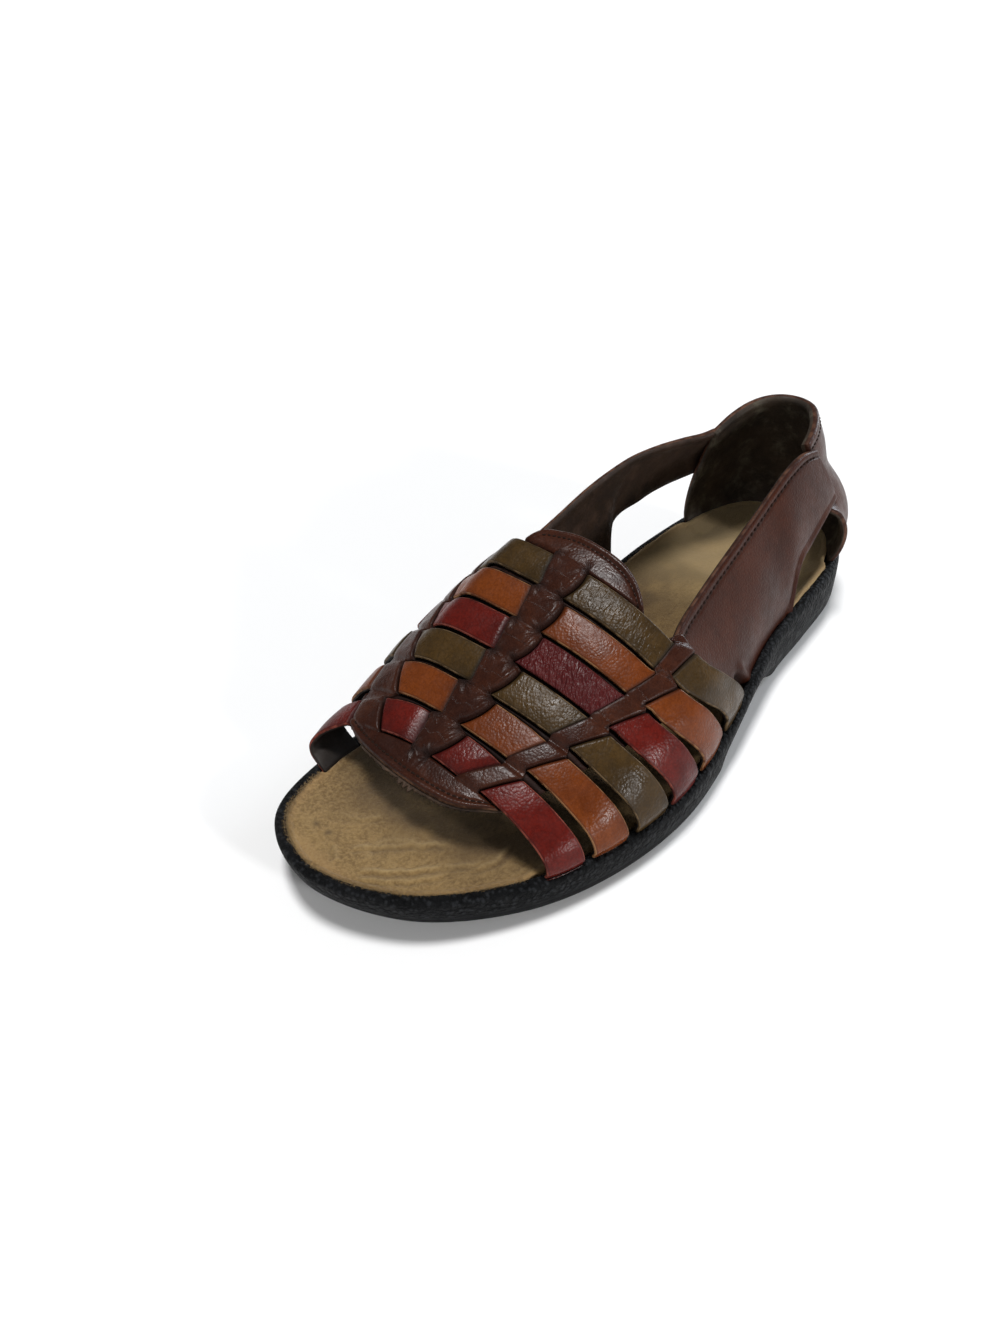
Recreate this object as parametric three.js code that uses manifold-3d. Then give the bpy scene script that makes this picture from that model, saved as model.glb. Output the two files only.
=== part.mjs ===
// A woven huarache sandal for the left foot, in millimetres.
// The toe points along -Y, the outer (lateral) side of the foot is +X and +Z is up.
// The sandal is three solids: a moulded outsole, a footbed and a one-piece leather upper.
import * as THREE from 'three';
import { mergeVertices } from 'three/addons/utils/BufferGeometryUtils.js';
import Module from 'manifold-3d';

const wasm = await Module();
wasm.setup();

// ---------------------------------------------------------------- driving dimensions
const HEEL_SEAT = 21.2; // top of the footbed under the heel
const BALL_SEAT = 12.4; // top of the footbed under the ball of the foot
const SEAT_DROP_AT = 21; // y where the seat is halfway between the two
const SEAT_DROP_SPREAD = 19; // how far along y that change is spread
const TOE_SPRING_FROM = -59; // the toe starts to lift here
const TOE_END = -135;
const TOE_SPRING_SEAT = 6.5; // lift of the footbed at the toe
const TOE_SPRING_TREAD = 8; // lift of the tread at the toe
const HEEL_CUP = 1.6; // how far the footbed's edge is raised round the heel
const FOOTBED_INSET = 4.5; // from the sole's outline to the footbed's edge
const FOOTBED_THICKNESS = 5.5;
const GAP = 0.35; // clearance between separate pieces
const LEATHER_LINE = 3; // from the sole's outline to the middle of the leather
const TUCK = 5; // leather held below the footbed's edge
const STRAP_THICKNESS = 1.8;
const PLATE_THICKNESS = 2.6;
const BAND_THICKNESS = 2.2;
const COUNTER_THICKNESS = 3;
const RIM_RISE = 1; // the rim stands this far above the footbed's edge
const ARCH_HEIGHT = 6; // the tread's lift at the waist
const ARCH_REAR = 52;
const ARCH_FRONT = -4;
const WAIST_TUCK_IN = 8; // how far the sole's foot is inside the rim at the waist
const TOE_TUCK_IN = 3; // the same at the toe
const GROOVE_WIDTH = 3;
const GROOVE_DEPTH = 2;
const GROOVE_MARGIN = 9; // groove ends stay this far inside the outline

// ---------------------------------------------------------------- tables
// The sole's outline, from the back of the heel along the lateral side to the toe and back.
const OUTLINE = [
  { x: -1, y: 135.5 },
  { x: 21, y: 127.5 },
  { x: 33, y: 107 },
  { x: 37, y: 80 },
  { x: 39.5, y: 54 },
  { x: 45, y: 30 },
  { x: 51, y: 5 },
  { x: 56, y: -28 },
  { x: 52.5, y: -60 },
  { x: 40.5, y: -92 },
  { x: 19, y: -119 },
  { x: -11, y: -131.5 },
  { x: -37, y: -122 },
  { x: -47.5, y: -96 },
  { x: -48, y: -62 },
  { x: -43.5, y: -30 },
  { x: -38.5, y: 5 },
  { x: -37.5, y: 40 },
  { x: -37.5, y: 75 },
  { x: -34, y: 108.5 },
  { x: -22.5, y: 130 },
];

// Cross-sections of the last. "full" is how square a side's shoulder is, "bulge" how far
// it stands out over its own base.
const SECTIONS = [
  { y: -112, ridgeX: -10, ridgeZ: 24.5, medialFull: 2.4, lateralFull: 2.1, medialBulge: 5, lateralBulge: 1 },
  { y: -91, ridgeX: -11, ridgeZ: 30.5, medialFull: 2.6, lateralFull: 2.1, medialBulge: 6, lateralBulge: 1 },
  { y: -70, ridgeX: -14, ridgeZ: 38.5, medialFull: 3.2, lateralFull: 2.1, medialBulge: 6.5, lateralBulge: 1 },
  { y: -55, ridgeX: -17, ridgeZ: 45.5, medialFull: 4, lateralFull: 2.1, medialBulge: 8.5, lateralBulge: 1 },
  { y: -40, ridgeX: -19, ridgeZ: 53, medialFull: 4.6, lateralFull: 2.1, medialBulge: 10, lateralBulge: 1 },
  { y: -25, ridgeX: -20, ridgeZ: 60.5, medialFull: 5, lateralFull: 2.1, medialBulge: 11.5, lateralBulge: 1 },
  { y: -10, ridgeX: -20, ridgeZ: 67, medialFull: 5, lateralFull: 2.1, medialBulge: 12, lateralBulge: 0.5 },
  { y: 12, ridgeX: -20, ridgeZ: 74, medialFull: 5, lateralFull: 2.1, medialBulge: 12, lateralBulge: 0 },
];

// The vamp plate's side edges, as a share of the way from the ridge (0) to the base (1).
const PLATE_EDGES = [
  { y: -93, medial: 0.55, lateral: 0.36 },
  { y: -82, medial: 0.62, lateral: 0.41 },
  { y: -63, medial: 0.68, lateral: 0.47 },
  { y: -44, medial: 0.72, lateral: 0.54 },
  { y: -25, medial: 0.72, lateral: 0.62 },
  { y: -13, medial: 0.7, lateral: 0.57 },
  { y: -10, medial: 0.66, lateral: 0.44 },
  { y: -6, medial: 0.52, lateral: 0.33 },
  { y: 1, medial: 0.38, lateral: 0.24 },
];
const PLATE_TOE = -92; // the plate's front edge on the ridge
const PLATE_TOE_CURVE = 8; // how far that edge runs back at its two ends
const PLATE_THROAT = 0.5; // the plate's back edge on the ridge
const PLATE_THROAT_CURVE = 7;

// The six straps from the throat forward: where each leaves the plate, and where its two
// ends go down beside the footbed.
const STRAPS = [
  { topY: -11, topWidth: 12, lateralY: 8.5, medialY: 3, baseWidth: 14 },
  { topY: -24, topWidth: 11, lateralY: -11, medialY: -15.5, baseWidth: 14 },
  { topY: -37, topWidth: 10.5, lateralY: -29, medialY: -33.5, baseWidth: 13 },
  { topY: -50, topWidth: 10.5, lateralY: -45, medialY: -51.5, baseWidth: 13 },
  { topY: -63, topWidth: 10.5, lateralY: -61.5, medialY: -69.5, baseWidth: 12.5 },
  { topY: -76, topWidth: 10.5, lateralY: -77, medialY: -88, baseWidth: 12 },
];

// The side bands, from the vamp back to the heel counter: a row for each section, its
// lower and upper edge, and how far it bulges out between them. A row whose lower edge
// is held in the sole has no lowX and lowZ of its own.
const LATERAL_BAND = [
  { lowY: 10, topX: 34, topY: -14, topZ: 50.5, bulge: 3 },
  { lowY: 22, topX: 29, topY: -1, topZ: 52.5, bulge: 3 },
  { lowY: 34, topX: 26, topY: 13, topZ: 54.5, bulge: 3.5 },
  { lowY: 46, topX: 24, topY: 28, topZ: 58, bulge: 3.5 },
  { lowY: 58, topX: 22.5, topY: 42, topZ: 61.5, bulge: 3.5 },
  { lowY: 66, topX: 21.5, topY: 54, topZ: 65, bulge: 3 },
  { lowX: 33.5, lowY: 73, lowZ: 36.5, topX: 20.5, topY: 66, topZ: 69, bulge: 2 },
  { lowX: 31.5, lowY: 84, lowZ: 41.5, topX: 19.5, topY: 79, topZ: 72.5, bulge: 1.5 },
  { lowX: 30, lowY: 97, lowZ: 47, topX: 17.5, topY: 92, topZ: 74.5, bulge: 1 },
  { lowX: 27, lowY: 109, lowZ: 49, topX: 15, topY: 102, topZ: 74, bulge: 1 },
];
const MEDIAL_BAND = [
  { lowY: -2, topX: -34, topY: -10, topZ: 55.5, bulge: 3 },
  { lowY: 12, topX: -36, topY: 3, topZ: 58, bulge: 3 },
  { lowY: 24, topX: -36, topY: 17, topZ: 61, bulge: 3 },
  { lowY: 36, topX: -35.5, topY: 31, topZ: 64.5, bulge: 3 },
  { lowY: 44, topX: -34, topY: 44, topZ: 67.5, bulge: 3 },
  { lowX: -39.5, lowY: 51, lowZ: 38.5, topX: -32.5, topY: 56, topZ: 69, bulge: 1.5 },
  { lowX: -37.5, lowY: 68, lowZ: 43.5, topX: -30, topY: 68, topZ: 69, bulge: 1.5 },
  { lowX: -36, lowY: 81, lowZ: 44.5, topX: -26, topY: 80, topZ: 68.5, bulge: 1.5 },
  { lowX: -33.5, lowY: 94, lowZ: 44.5, topX: -21, topY: 91, topZ: 68.5, bulge: 1.5 },
  { lowX: -30, lowY: 103, lowZ: 45.5, topX: -18, topY: 100, topZ: 71.5, bulge: 1.5 },
];

// The heel counter, from its medial front edge round the back to its lateral one. The
// lower edge follows the sole; "turn" is the place on the outline, in outline points.
const COUNTER = [
  { turn: -2.4, topX: -20.5, topY: 92, topZ: 68.5, bulge: 3 },
  { turn: -2, topX: -18, topY: 101, topZ: 73, bulge: 3.5 },
  { turn: -1.4, topX: -15, topY: 112, topZ: 75.5, bulge: 4.5 },
  { turn: -0.7, topX: -9.5, topY: 118, topZ: 77, bulge: 5.5 },
  { turn: 0, topX: -2, topY: 120, topZ: 77.5, bulge: 6.5 },
  { turn: 0.6, topX: 5, topY: 117.5, topZ: 77.5, bulge: 8 },
  { turn: 1.2, topX: 10.5, topY: 110.5, topZ: 77, bulge: 8 },
  { turn: 1.7, topX: 14.5, topY: 102, topZ: 76, bulge: 6 },
  { turn: 2, topX: 17, topY: 93, topZ: 74.5, bulge: 3 },
];

// ---------------------------------------------------------------- small helpers
const mix = (a, b, share) => a + (b - a) * share;
const clamp01 = (value) => Math.min(1, Math.max(0, value));
const ease = (share) => share * share * (3 - 2 * share);

// Smooth value of one column of a table at a place along its key column.
function smoothColumn(table, key, column, at) {
  const last = table.length - 1;
  const where = Math.min(table[last][key], Math.max(table[0][key], at));
  let i = 0;
  while (i < last - 1 && table[i + 1][key] < where) i += 1;
  const slope = (k) => {
    const before = table[Math.max(0, k - 1)];
    const after = table[Math.min(last, k + 1)];
    return (after[column] - before[column]) / (after[key] - before[key]);
  };
  const a = table[i];
  const b = table[i + 1];
  const span = b[key] - a[key];
  const s = (where - a[key]) / span;
  const keepA = (1 + 2 * s) * (1 - s) * (1 - s);
  const turnA = s * (1 - s) * (1 - s) * span * slope(i);
  const keepB = s * s * (3 - 2 * s);
  const turnB = s * s * (s - 1) * span * slope(i + 1);
  return keepA * a[column] + turnA + keepB * b[column] + turnB;
}

// ---------------------------------------------------------------- the sole's outline
const outlineCurve = new THREE.CatmullRomCurve3(
  OUTLINE.map((p) => new THREE.Vector3(p.x, p.y, 0)), true, 'catmullrom', 0.5);

// A point on the outline, moved in by a distance. One turn is the whole way round.
function outlinePoint(turn, inset) {
  const at = ((turn % 1) + 1) % 1;
  const point = outlineCurve.getPoint(at);
  const tangent = outlineCurve.getTangent(at);
  return new THREE.Vector3(point.x + tangent.y * inset, point.y - tangent.x * inset, 0);
}

// The two long sides of the line on which the leather goes down, for looking up x at y.
const SIDE_SAMPLES = 400;
const leatherSides = { lateral: [], medial: [] };
for (let i = 0; i <= SIDE_SAMPLES; i += 1) {
  const share = i / SIDE_SAMPLES;
  leatherSides.lateral.push(outlinePoint(share * 0.52, LEATHER_LINE));
  leatherSides.medial.push(outlinePoint(1 - share * 0.48, LEATHER_LINE));
}

function leatherX(y, side) {
  const line = side > 0 ? leatherSides.lateral : leatherSides.medial;
  let i = 1;
  while (i < line.length - 1 && line[i].y > y) i += 1;
  const share = clamp01((line[i - 1].y - y) / (line[i - 1].y - line[i].y));
  return mix(line[i - 1].x, line[i].x, share);
}

// ---------------------------------------------------------------- heights
function toeSpring(y) {
  const share = clamp01((TOE_SPRING_FROM - y) / (TOE_SPRING_FROM - TOE_END));
  return share * share;
}

function seatZ(y) {
  const back = 1 / (1 + Math.exp((SEAT_DROP_AT - y) / SEAT_DROP_SPREAD));
  return mix(BALL_SEAT, HEEL_SEAT, back) + TOE_SPRING_SEAT * toeSpring(y);
}

function waist(y) {
  const share = clamp01((y - ARCH_FRONT) / (ARCH_REAR - ARCH_FRONT));
  return Math.sin(Math.PI * share);
}

function treadZ(y) {
  return TOE_SPRING_TREAD * toeSpring(y) + ARCH_HEIGHT * waist(y);
}

// ---------------------------------------------------------------- solids from meshes
function solidFrom(positions, triangles) {
  const raw = new THREE.BufferGeometry();
  raw.setAttribute('position', new THREE.Float32BufferAttribute(positions, 3));
  raw.setIndex(triangles);
  const merged = mergeVertices(raw, 1e-4);
  const mesh = new wasm.Mesh({
    numProp: 3,
    vertProperties: new Float32Array(merged.attributes.position.array),
    triVerts: new Uint32Array(merged.index.array),
  });
  return new wasm.Manifold(mesh);
}

// The main body of a cut solid, without crumbs left beside a pocket.
function mainBody(solid) {
  const bodies = solid.decompose();
  return bodies.reduce((best, body) => (body.volume() > best.volume() ? body : best));
}

function geometryFrom(solid) {
  const mesh = solid.getMesh();
  const geometry = new THREE.BufferGeometry();
  geometry.setAttribute('position', new THREE.BufferAttribute(mesh.vertProperties, 3));
  geometry.setIndex(new THREE.BufferAttribute(mesh.triVerts, 1));
  geometry.computeVertexNormals();
  return geometry;
}

// A cap over one ring, facing up (1) or down (-1). It is laced across the sole from side
// to side, so it keeps the ring's heights along the foot.
function addCap(triangles, ring, first, facing) {
  let lateral = 0;
  let medial = ring.length;
  const at = (i) => ring[i % ring.length];
  const index = (i) => first + (i % ring.length);
  const add = (a, b, c) => triangles.push(index(a), index(facing > 0 ? c : b), index(facing > 0 ? b : c));
  while (medial - lateral > 2) {
    if (at(lateral + 1).y > at(medial - 1).y) {
      add(lateral, lateral + 1, medial);
      lateral += 1;
    } else {
      add(lateral, medial - 1, medial);
      medial -= 1;
    }
  }
  add(lateral, lateral + 1, medial);
}

// A closed body from rings of equal length. The first and last ring are capped flat.
function ringSolid(rings) {
  const count = rings[0].length;
  const positions = rings.flat().flatMap((p) => [p.x, p.y, p.z]);
  const triangles = [];
  for (let r = 0; r < rings.length - 1; r += 1) {
    for (let i = 0; i < count; i += 1) {
      const a = r * count + i;
      const b = r * count + ((i + 1) % count);
      triangles.push(a, a + count, b);
      triangles.push(b, a + count, b + count);
    }
  }
  addCap(triangles, rings[0], 0, -1);
  addCap(triangles, rings[rings.length - 1], (rings.length - 1) * count, 1);
  return solidFrom(positions, triangles);
}

// A curved sheet of leather of one thickness. place(u, v) gives the middle of the sheet
// for u and v from 0 to 1, and grow makes the whole sheet larger, to cut its pocket.
function sheetSolid(place, alongU, alongV, thickness, grow) {
  const step = 1e-3;
  const positions = [];
  const point = new THREE.Vector3();
  for (const side of [1, -1]) {
    for (let i = 0; i <= alongU; i += 1) {
      for (let j = 0; j <= alongV; j += 1) {
        const u = i / alongU;
        const v = j / alongV;
        const du = place(Math.min(1, u + step), v, grow).sub(place(Math.max(0, u - step), v, grow));
        const dv = place(u, Math.min(1, v + step), grow).sub(place(u, Math.max(0, v - step), grow));
        const normal = du.cross(dv).normalize();
        point.copy(place(u, v, grow)).addScaledVector(normal, side * (thickness / 2 + grow));
        positions.push(point.x, point.y, point.z);
      }
    }
  }
  const row = alongV + 1;
  const layer = (alongU + 1) * row;
  const triangles = [];
  const quad = (a, b, c, d) => triangles.push(a, b, c, a, c, d);
  for (let i = 0; i < alongU; i += 1) {
    for (let j = 0; j < alongV; j += 1) {
      const a = i * row + j;
      quad(a, a + row, a + row + 1, a + 1);
      quad(layer + a, layer + a + 1, layer + a + row + 1, layer + a + row);
    }
  }
  for (let i = 0; i < alongU; i += 1) {
    const a = i * row;
    const b = a + alongV;
    quad(a, layer + a, layer + a + row, a + row);
    quad(b, b + row, layer + b + row, layer + b);
  }
  for (let j = 0; j < alongV; j += 1) {
    const a = j;
    const b = alongU * row + j;
    quad(a, a + 1, layer + a + 1, layer + a);
    quad(b, layer + b, layer + b + 1, b + 1);
  }
  const solid = solidFrom(positions, triangles);
  return solid.volume() > 0 ? solid : solidFrom(positions, flip(triangles));
}

function flip(triangles) {
  const flipped = [];
  for (let i = 0; i < triangles.length; i += 3) {
    flipped.push(triangles[i], triangles[i + 2], triangles[i + 1]);
  }
  return flipped;
}

// ---------------------------------------------------------------- the last
// A point on the last: y along the foot, across from -1 (medial base) to 1 (lateral base).
// Past 1 the leather runs straight down beside the footbed.
function lastPoint(y, across) {
  const side = across < 0 ? 'medial' : 'lateral';
  const sign = across < 0 ? -1 : 1;
  const column = (name) => smoothColumn(SECTIONS, 'y', name, y);
  const ridgeX = column('ridgeX');
  const base = seatZ(y) + RIM_RISE;
  const baseX = leatherX(y, sign);
  const share = Math.min(1, Math.abs(across));
  const power = 2 / column(`${side}Full`);
  const out = Math.sin((share * Math.PI) / 2) ** power;
  const up = Math.cos((share * Math.PI) / 2) ** power;
  const bulge = column(`${side}Bulge`) * out * Math.sin(Math.PI * clamp01(up / 0.9));
  const x = mix(ridgeX, baseX, out) + sign * bulge;
  const z = mix(base, column('ridgeZ'), up) - Math.max(0, Math.abs(across) - 1);
  return new THREE.Vector3(x, y, z);
}

// ---------------------------------------------------------------- upper
function platePlace(u, v, grow) {
  const across = 2 * v - 1;
  const front = PLATE_TOE + PLATE_TOE_CURVE * across * across - grow;
  const back = PLATE_THROAT - PLATE_THROAT_CURVE * Math.abs(across) ** 3 + grow;
  const y = mix(front, back, u);
  const edge = smoothColumn(PLATE_EDGES, 'y', across < 0 ? 'medial' : 'lateral', y);
  return lastPoint(y, across * edge);
}

const STRAP_OVERLAP = 0.1; // the strap starts this far inside the plate's edge
function strapPlace(strap, sign) {
  const side = sign < 0 ? 'medial' : 'lateral';
  const baseY = strap[`${side}Y`];
  const edge = smoothColumn(PLATE_EDGES, 'y', side, strap.topY) - STRAP_OVERLAP;
  return (u, v, grow) => {
    const run = v * 1.25;
    const reach = Math.min(1, run);
    const half = mix(strap.topWidth, strap.baseWidth, reach) / 2 + grow;
    const y = mix(strap.topY, baseY, ease(reach)) + (2 * u - 1) * half;
    const below = clamp01((run - 1) / 0.25) * (TUCK + RIM_RISE + grow);
    return lastPoint(y, sign * (mix(edge, 1, reach) + below));
  };
}

// How far out a sheet stands, as a share of its bulge. It starts above the sole's rim, and
// a low peak makes it fullest nearer the sole.
const BULGE_FROM = 0.12;
function bulgeShare(v, peak) {
  const above = clamp01((v - BULGE_FROM) / (1 - BULGE_FROM));
  return Math.sin(Math.PI * above ** peak);
}

function bandPlace(table, sign, slide) {
  const rows = table.map((row, index) => {
    const held = row.lowX === undefined;
    const lowX = held ? leatherX(row.lowY, sign) : row.lowX;
    const lowZ = held ? seatZ(row.lowY) - TUCK : row.lowZ;
    return { ...row, index, lowX, lowZ };
  });
  return (u, v, grow) => {
    const at = u * (rows.length - 1);
    const column = (name) => smoothColumn(rows, 'index', name, at);
    const stretch = v + (v - 0.5) * grow * 0.05;
    return new THREE.Vector3(
      mix(column('lowX'), column('topX'), stretch) + sign * column('bulge') * bulgeShare(v, 0.8),
      mix(column('lowY'), column('topY'), stretch) + slide,
      mix(column('lowZ'), column('topZ'), stretch) - (1 - v) * grow,
    );
  };
}

const HEEL_CENTRE = new THREE.Vector3(0, 92, 0);
function counterPlace(u, v, grow) {
  const turns = mix(COUNTER[0].turn, COUNTER[COUNTER.length - 1].turn, u);
  const column = (name) => smoothColumn(COUNTER, 'turn', name, turns);
  const widened = turns + (u - 0.5) * grow * 0.08;
  const low = outlinePoint(widened / OUTLINE.length, LEATHER_LINE);
  low.z = seatZ(low.y) - TUCK - grow;
  const top = new THREE.Vector3(column('topX'), column('topY'), column('topZ'));
  const outward = low.clone().sub(HEEL_CENTRE).setZ(0).normalize();
  return low.lerp(top, v).addScaledVector(outward, column('bulge') * bulgeShare(v, 0.6));
}

function upperSolid(grow) {
  const sheets = [
    sheetSolid(platePlace, 16, 18, PLATE_THICKNESS, grow),
    sheetSolid(counterPlace, 20, 7, COUNTER_THICKNESS, grow),
  ];
  const slides = grow > 0 ? [-grow, grow] : [0];
  for (const slide of slides) {
    sheets.push(sheetSolid(bandPlace(LATERAL_BAND, 1, slide), 18, 6, BAND_THICKNESS, grow));
    sheets.push(sheetSolid(bandPlace(MEDIAL_BAND, -1, slide), 18, 6, BAND_THICKNESS, grow));
  }
  for (const strap of STRAPS) {
    sheets.push(sheetSolid(strapPlace(strap, 1), 2, 10, STRAP_THICKNESS, grow));
    sheets.push(sheetSolid(strapPlace(strap, -1), 2, 10, STRAP_THICKNESS, grow));
  }
  return sheets.reduce((whole, sheet) => whole.add(sheet));
}

// ---------------------------------------------------------------- sole and footbed
const RING_POINTS = 96;

// One ring: the outline moved in by a distance, at a height that changes along the foot.
function soleRing(insetAt, heightAt) {
  const ring = [];
  for (let i = 0; i < RING_POINTS; i += 1) {
    const turn = i / RING_POINTS;
    const point = outlinePoint(turn, insetAt(outlinePoint(turn, 0).y));
    point.z = heightAt(point.y);
    ring.push(point);
  }
  return ring;
}

function wallInset(y, share) {
  // How far the sole's side is inside the outline, from the tread (0) to the rim (1).
  const below = 1 - share;
  return WAIST_TUCK_IN * waist(y) * below ** 3 + TOE_TUCK_IN * toeSpring(y) * below ** 1.6;
}

function outsoleBlank() {
  const rimZ = (y) => seatZ(y) + RIM_RISE;
  const floorZ = (y) => seatZ(y) - FOOTBED_THICKNESS - GAP;
  const cavity = FOOTBED_INSET - GAP;
  const wallZ = (y, share) => mix(treadZ(y), rimZ(y), share);
  return ringSolid([
    soleRing((y) => wallInset(y, 0) + 4, treadZ),
    soleRing((y) => wallInset(y, 0.1) + 1.8, (y) => wallZ(y, 0.1)),
    soleRing((y) => wallInset(y, 0.35), (y) => wallZ(y, 0.35)),
    soleRing((y) => wallInset(y, 0.7), (y) => wallZ(y, 0.7)),
    soleRing((y) => wallInset(y, 0.92) + 0.1, (y) => wallZ(y, 0.92)),
    soleRing(() => 1, (y) => rimZ(y) - 0.2),
    soleRing(() => cavity - 0.8, (y) => rimZ(y)),
    soleRing(() => cavity, (y) => rimZ(y) - 0.8),
    soleRing(() => cavity, floorZ),
  ]);
}

function footbedBlank() {
  const edge = (y, share) => HEEL_CUP * clamp01((y - 20) / 60) * share;
  const under = (y) => seatZ(y) - FOOTBED_THICKNESS;
  const top = (share) => (y) => seatZ(y) + edge(y, share);
  return ringSolid([
    soleRing(() => FOOTBED_INSET, under),
    soleRing(() => FOOTBED_INSET, (y) => seatZ(y) + edge(y, 1) - 1),
    soleRing(() => FOOTBED_INSET + 0.8, top(1)),
    soleRing(() => FOOTBED_INSET + 4, top(0.5)),
    soleRing(() => FOOTBED_INSET + 8, top(0.15)),
    soleRing(() => FOOTBED_INSET + 12, top(0)),
  ]);
}

// Grooves across the tread leave the main lugs standing.
function grooveCutters() {
  const rows = [
    { from: -104, to: -14, pitch: 12.5 },
    { from: 62, to: 118, pitch: 11 },
  ];
  const cutters = [];
  for (const row of rows) {
    for (let y = row.from; y <= row.to; y += row.pitch) {
      const left = leatherX(y, -1) + GROOVE_MARGIN;
      const right = leatherX(y, 1) - GROOVE_MARGIN;
      const box = new THREE.BoxGeometry(right - left, GROOVE_WIDTH, GROOVE_DEPTH * 2);
      box.translate((left + right) / 2, y, treadZ(y));
      box.deleteAttribute('normal');
      box.deleteAttribute('uv');
      const merged = mergeVertices(box);
      cutters.push(solidFrom(Array.from(merged.attributes.position.array), Array.from(merged.index.array)));
    }
  }
  return cutters;
}

// ---------------------------------------------------------------- the sandal
const pocket = upperSolid(GAP);
const treaded = grooveCutters().reduce((body, cutter) => body.subtract(cutter), outsoleBlank());
const outsole = mainBody(treaded.subtract(pocket));
const footbed = mainBody(footbedBlank().subtract(pocket));
const upper = upperSolid(0);

const sandal = new THREE.Group();
function addPiece(name, solid, color, roughness) {
  const material = new THREE.MeshStandardMaterial({ color, roughness, metalness: 0 });
  const mesh = new THREE.Mesh(geometryFrom(solid), material);
  mesh.name = name;
  sandal.add(mesh);
}
addPiece('outsole', outsole, 0x1c1c1e, 0.75);
addPiece('footbed', footbed, 0x94774f, 0.95);
addPiece('upper', upper, 0x4a2a20, 0.5);

// The origin is under the middle of the sandal, on the floor.
const box = new THREE.Box3().setFromObject(sandal);
const middle = box.getCenter(new THREE.Vector3());
sandal.position.set(-middle.x, -middle.y, -box.min.z);

export default sandal;
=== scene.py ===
"""The looks of a woven huarache sandal, built round the solids of its frame.

All lengths are in millimetres in the sandal's own axes (toe -Y, lateral side +X, up +Z), and
put() takes them to the frame's metres. The leather, the footbed and the sole each replace
their plain CAD node with a finished mesh.
"""
import math

import bpy
import numpy as np
from mathutils import Matrix, Vector


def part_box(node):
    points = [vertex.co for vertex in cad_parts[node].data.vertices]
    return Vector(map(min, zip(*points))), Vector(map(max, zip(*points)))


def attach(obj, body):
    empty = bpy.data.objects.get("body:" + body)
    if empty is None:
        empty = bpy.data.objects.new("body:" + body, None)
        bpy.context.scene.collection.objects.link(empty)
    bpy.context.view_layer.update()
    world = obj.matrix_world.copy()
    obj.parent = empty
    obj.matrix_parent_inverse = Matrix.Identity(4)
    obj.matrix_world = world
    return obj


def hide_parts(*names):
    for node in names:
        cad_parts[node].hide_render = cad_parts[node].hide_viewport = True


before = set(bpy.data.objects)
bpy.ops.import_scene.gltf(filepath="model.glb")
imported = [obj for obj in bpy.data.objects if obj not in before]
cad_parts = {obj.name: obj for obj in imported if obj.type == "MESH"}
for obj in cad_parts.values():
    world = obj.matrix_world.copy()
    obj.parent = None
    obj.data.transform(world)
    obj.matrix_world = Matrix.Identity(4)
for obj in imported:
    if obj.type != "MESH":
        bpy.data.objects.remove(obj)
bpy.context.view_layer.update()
random = np.random.default_rng(7)

# ---------------------------------------------------------------- sizes, as in the part
HEEL_SEAT = 21.2  # top of the footbed under the heel
BALL_SEAT = 12.4  # top of the footbed under the ball of the foot
SEAT_DROP_AT = 21  # y where the seat is halfway between the two
SEAT_DROP_SPREAD = 19  # how far along y that change is spread
TOE_SPRING_FROM = -59  # the toe starts to lift here
TOE_END = -135
TOE_SPRING_SEAT = 6.5  # lift of the footbed at the toe
TOE_SPRING_TREAD = 8  # lift of the tread at the toe
HEEL_CUP = 1.6  # how far the footbed's edge is raised round the heel
FOOTBED_THICKNESS = 5.5
LEATHER_LINE = 3  # from the sole's outline to the middle of the leather
TUCK = 5  # leather held below the footbed's edge
RIM_RISE = 1  # the rim stands this far above the footbed's edge
ARCH_HEIGHT = 6  # the tread's lift at the waist
ARCH_REAR = 52
ARCH_FRONT = -4
WAIST_TUCK_IN = 8  # how far the sole's foot is inside the rim at the waist
TOE_TUCK_IN = 3  # the same at the toe

# The sole's outline, from the back of the heel along the lateral side to the toe and back.
OUTLINE = np.array([
    (-1, 135.5), (21, 127.5), (33, 107), (37, 80), (39.5, 54), (45, 30), (51, 5),
    (56, -28), (52.5, -60), (40.5, -92), (19, -119), (-11, -131.5), (-37, -122),
    (-47.5, -96), (-48, -62), (-43.5, -30), (-38.5, 5), (-37.5, 40), (-37.5, 75),
    (-34, 108.5), (-22.5, 130),
], float)
TOE_TURN = 11 / 21  # how far round the outline the toe is
HEEL_CENTRE = 92  # y of the middle of the heel's round
SOLE_CORNER = (-48.64, -131.26, 0)  # lowest corner of the sole's box in these axes

# Cross-sections of the last, a column for each: where its ridge is, how square its
# shoulders are and how far its sides stand out over their base.
SECTIONS = dict(
    y=(-112, -91, -70, -55, -40, -25, -10, 12),
    ridge_x=(-10, -11, -14, -17, -19, -20, -20, -20),
    ridge_z=(24.5, 30.5, 38.5, 45.5, 53, 60.5, 67, 74),
    medial_full=(2.4, 2.6, 3.2, 4, 4.6, 5, 5, 5),
    lateral_full=(2.1,) * 8,
    medial_bulge=(5, 6, 6.5, 8.5, 10, 11.5, 12, 12),
    lateral_bulge=(1, 1, 1, 1, 1, 1, 0.5, 0),
)

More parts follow.
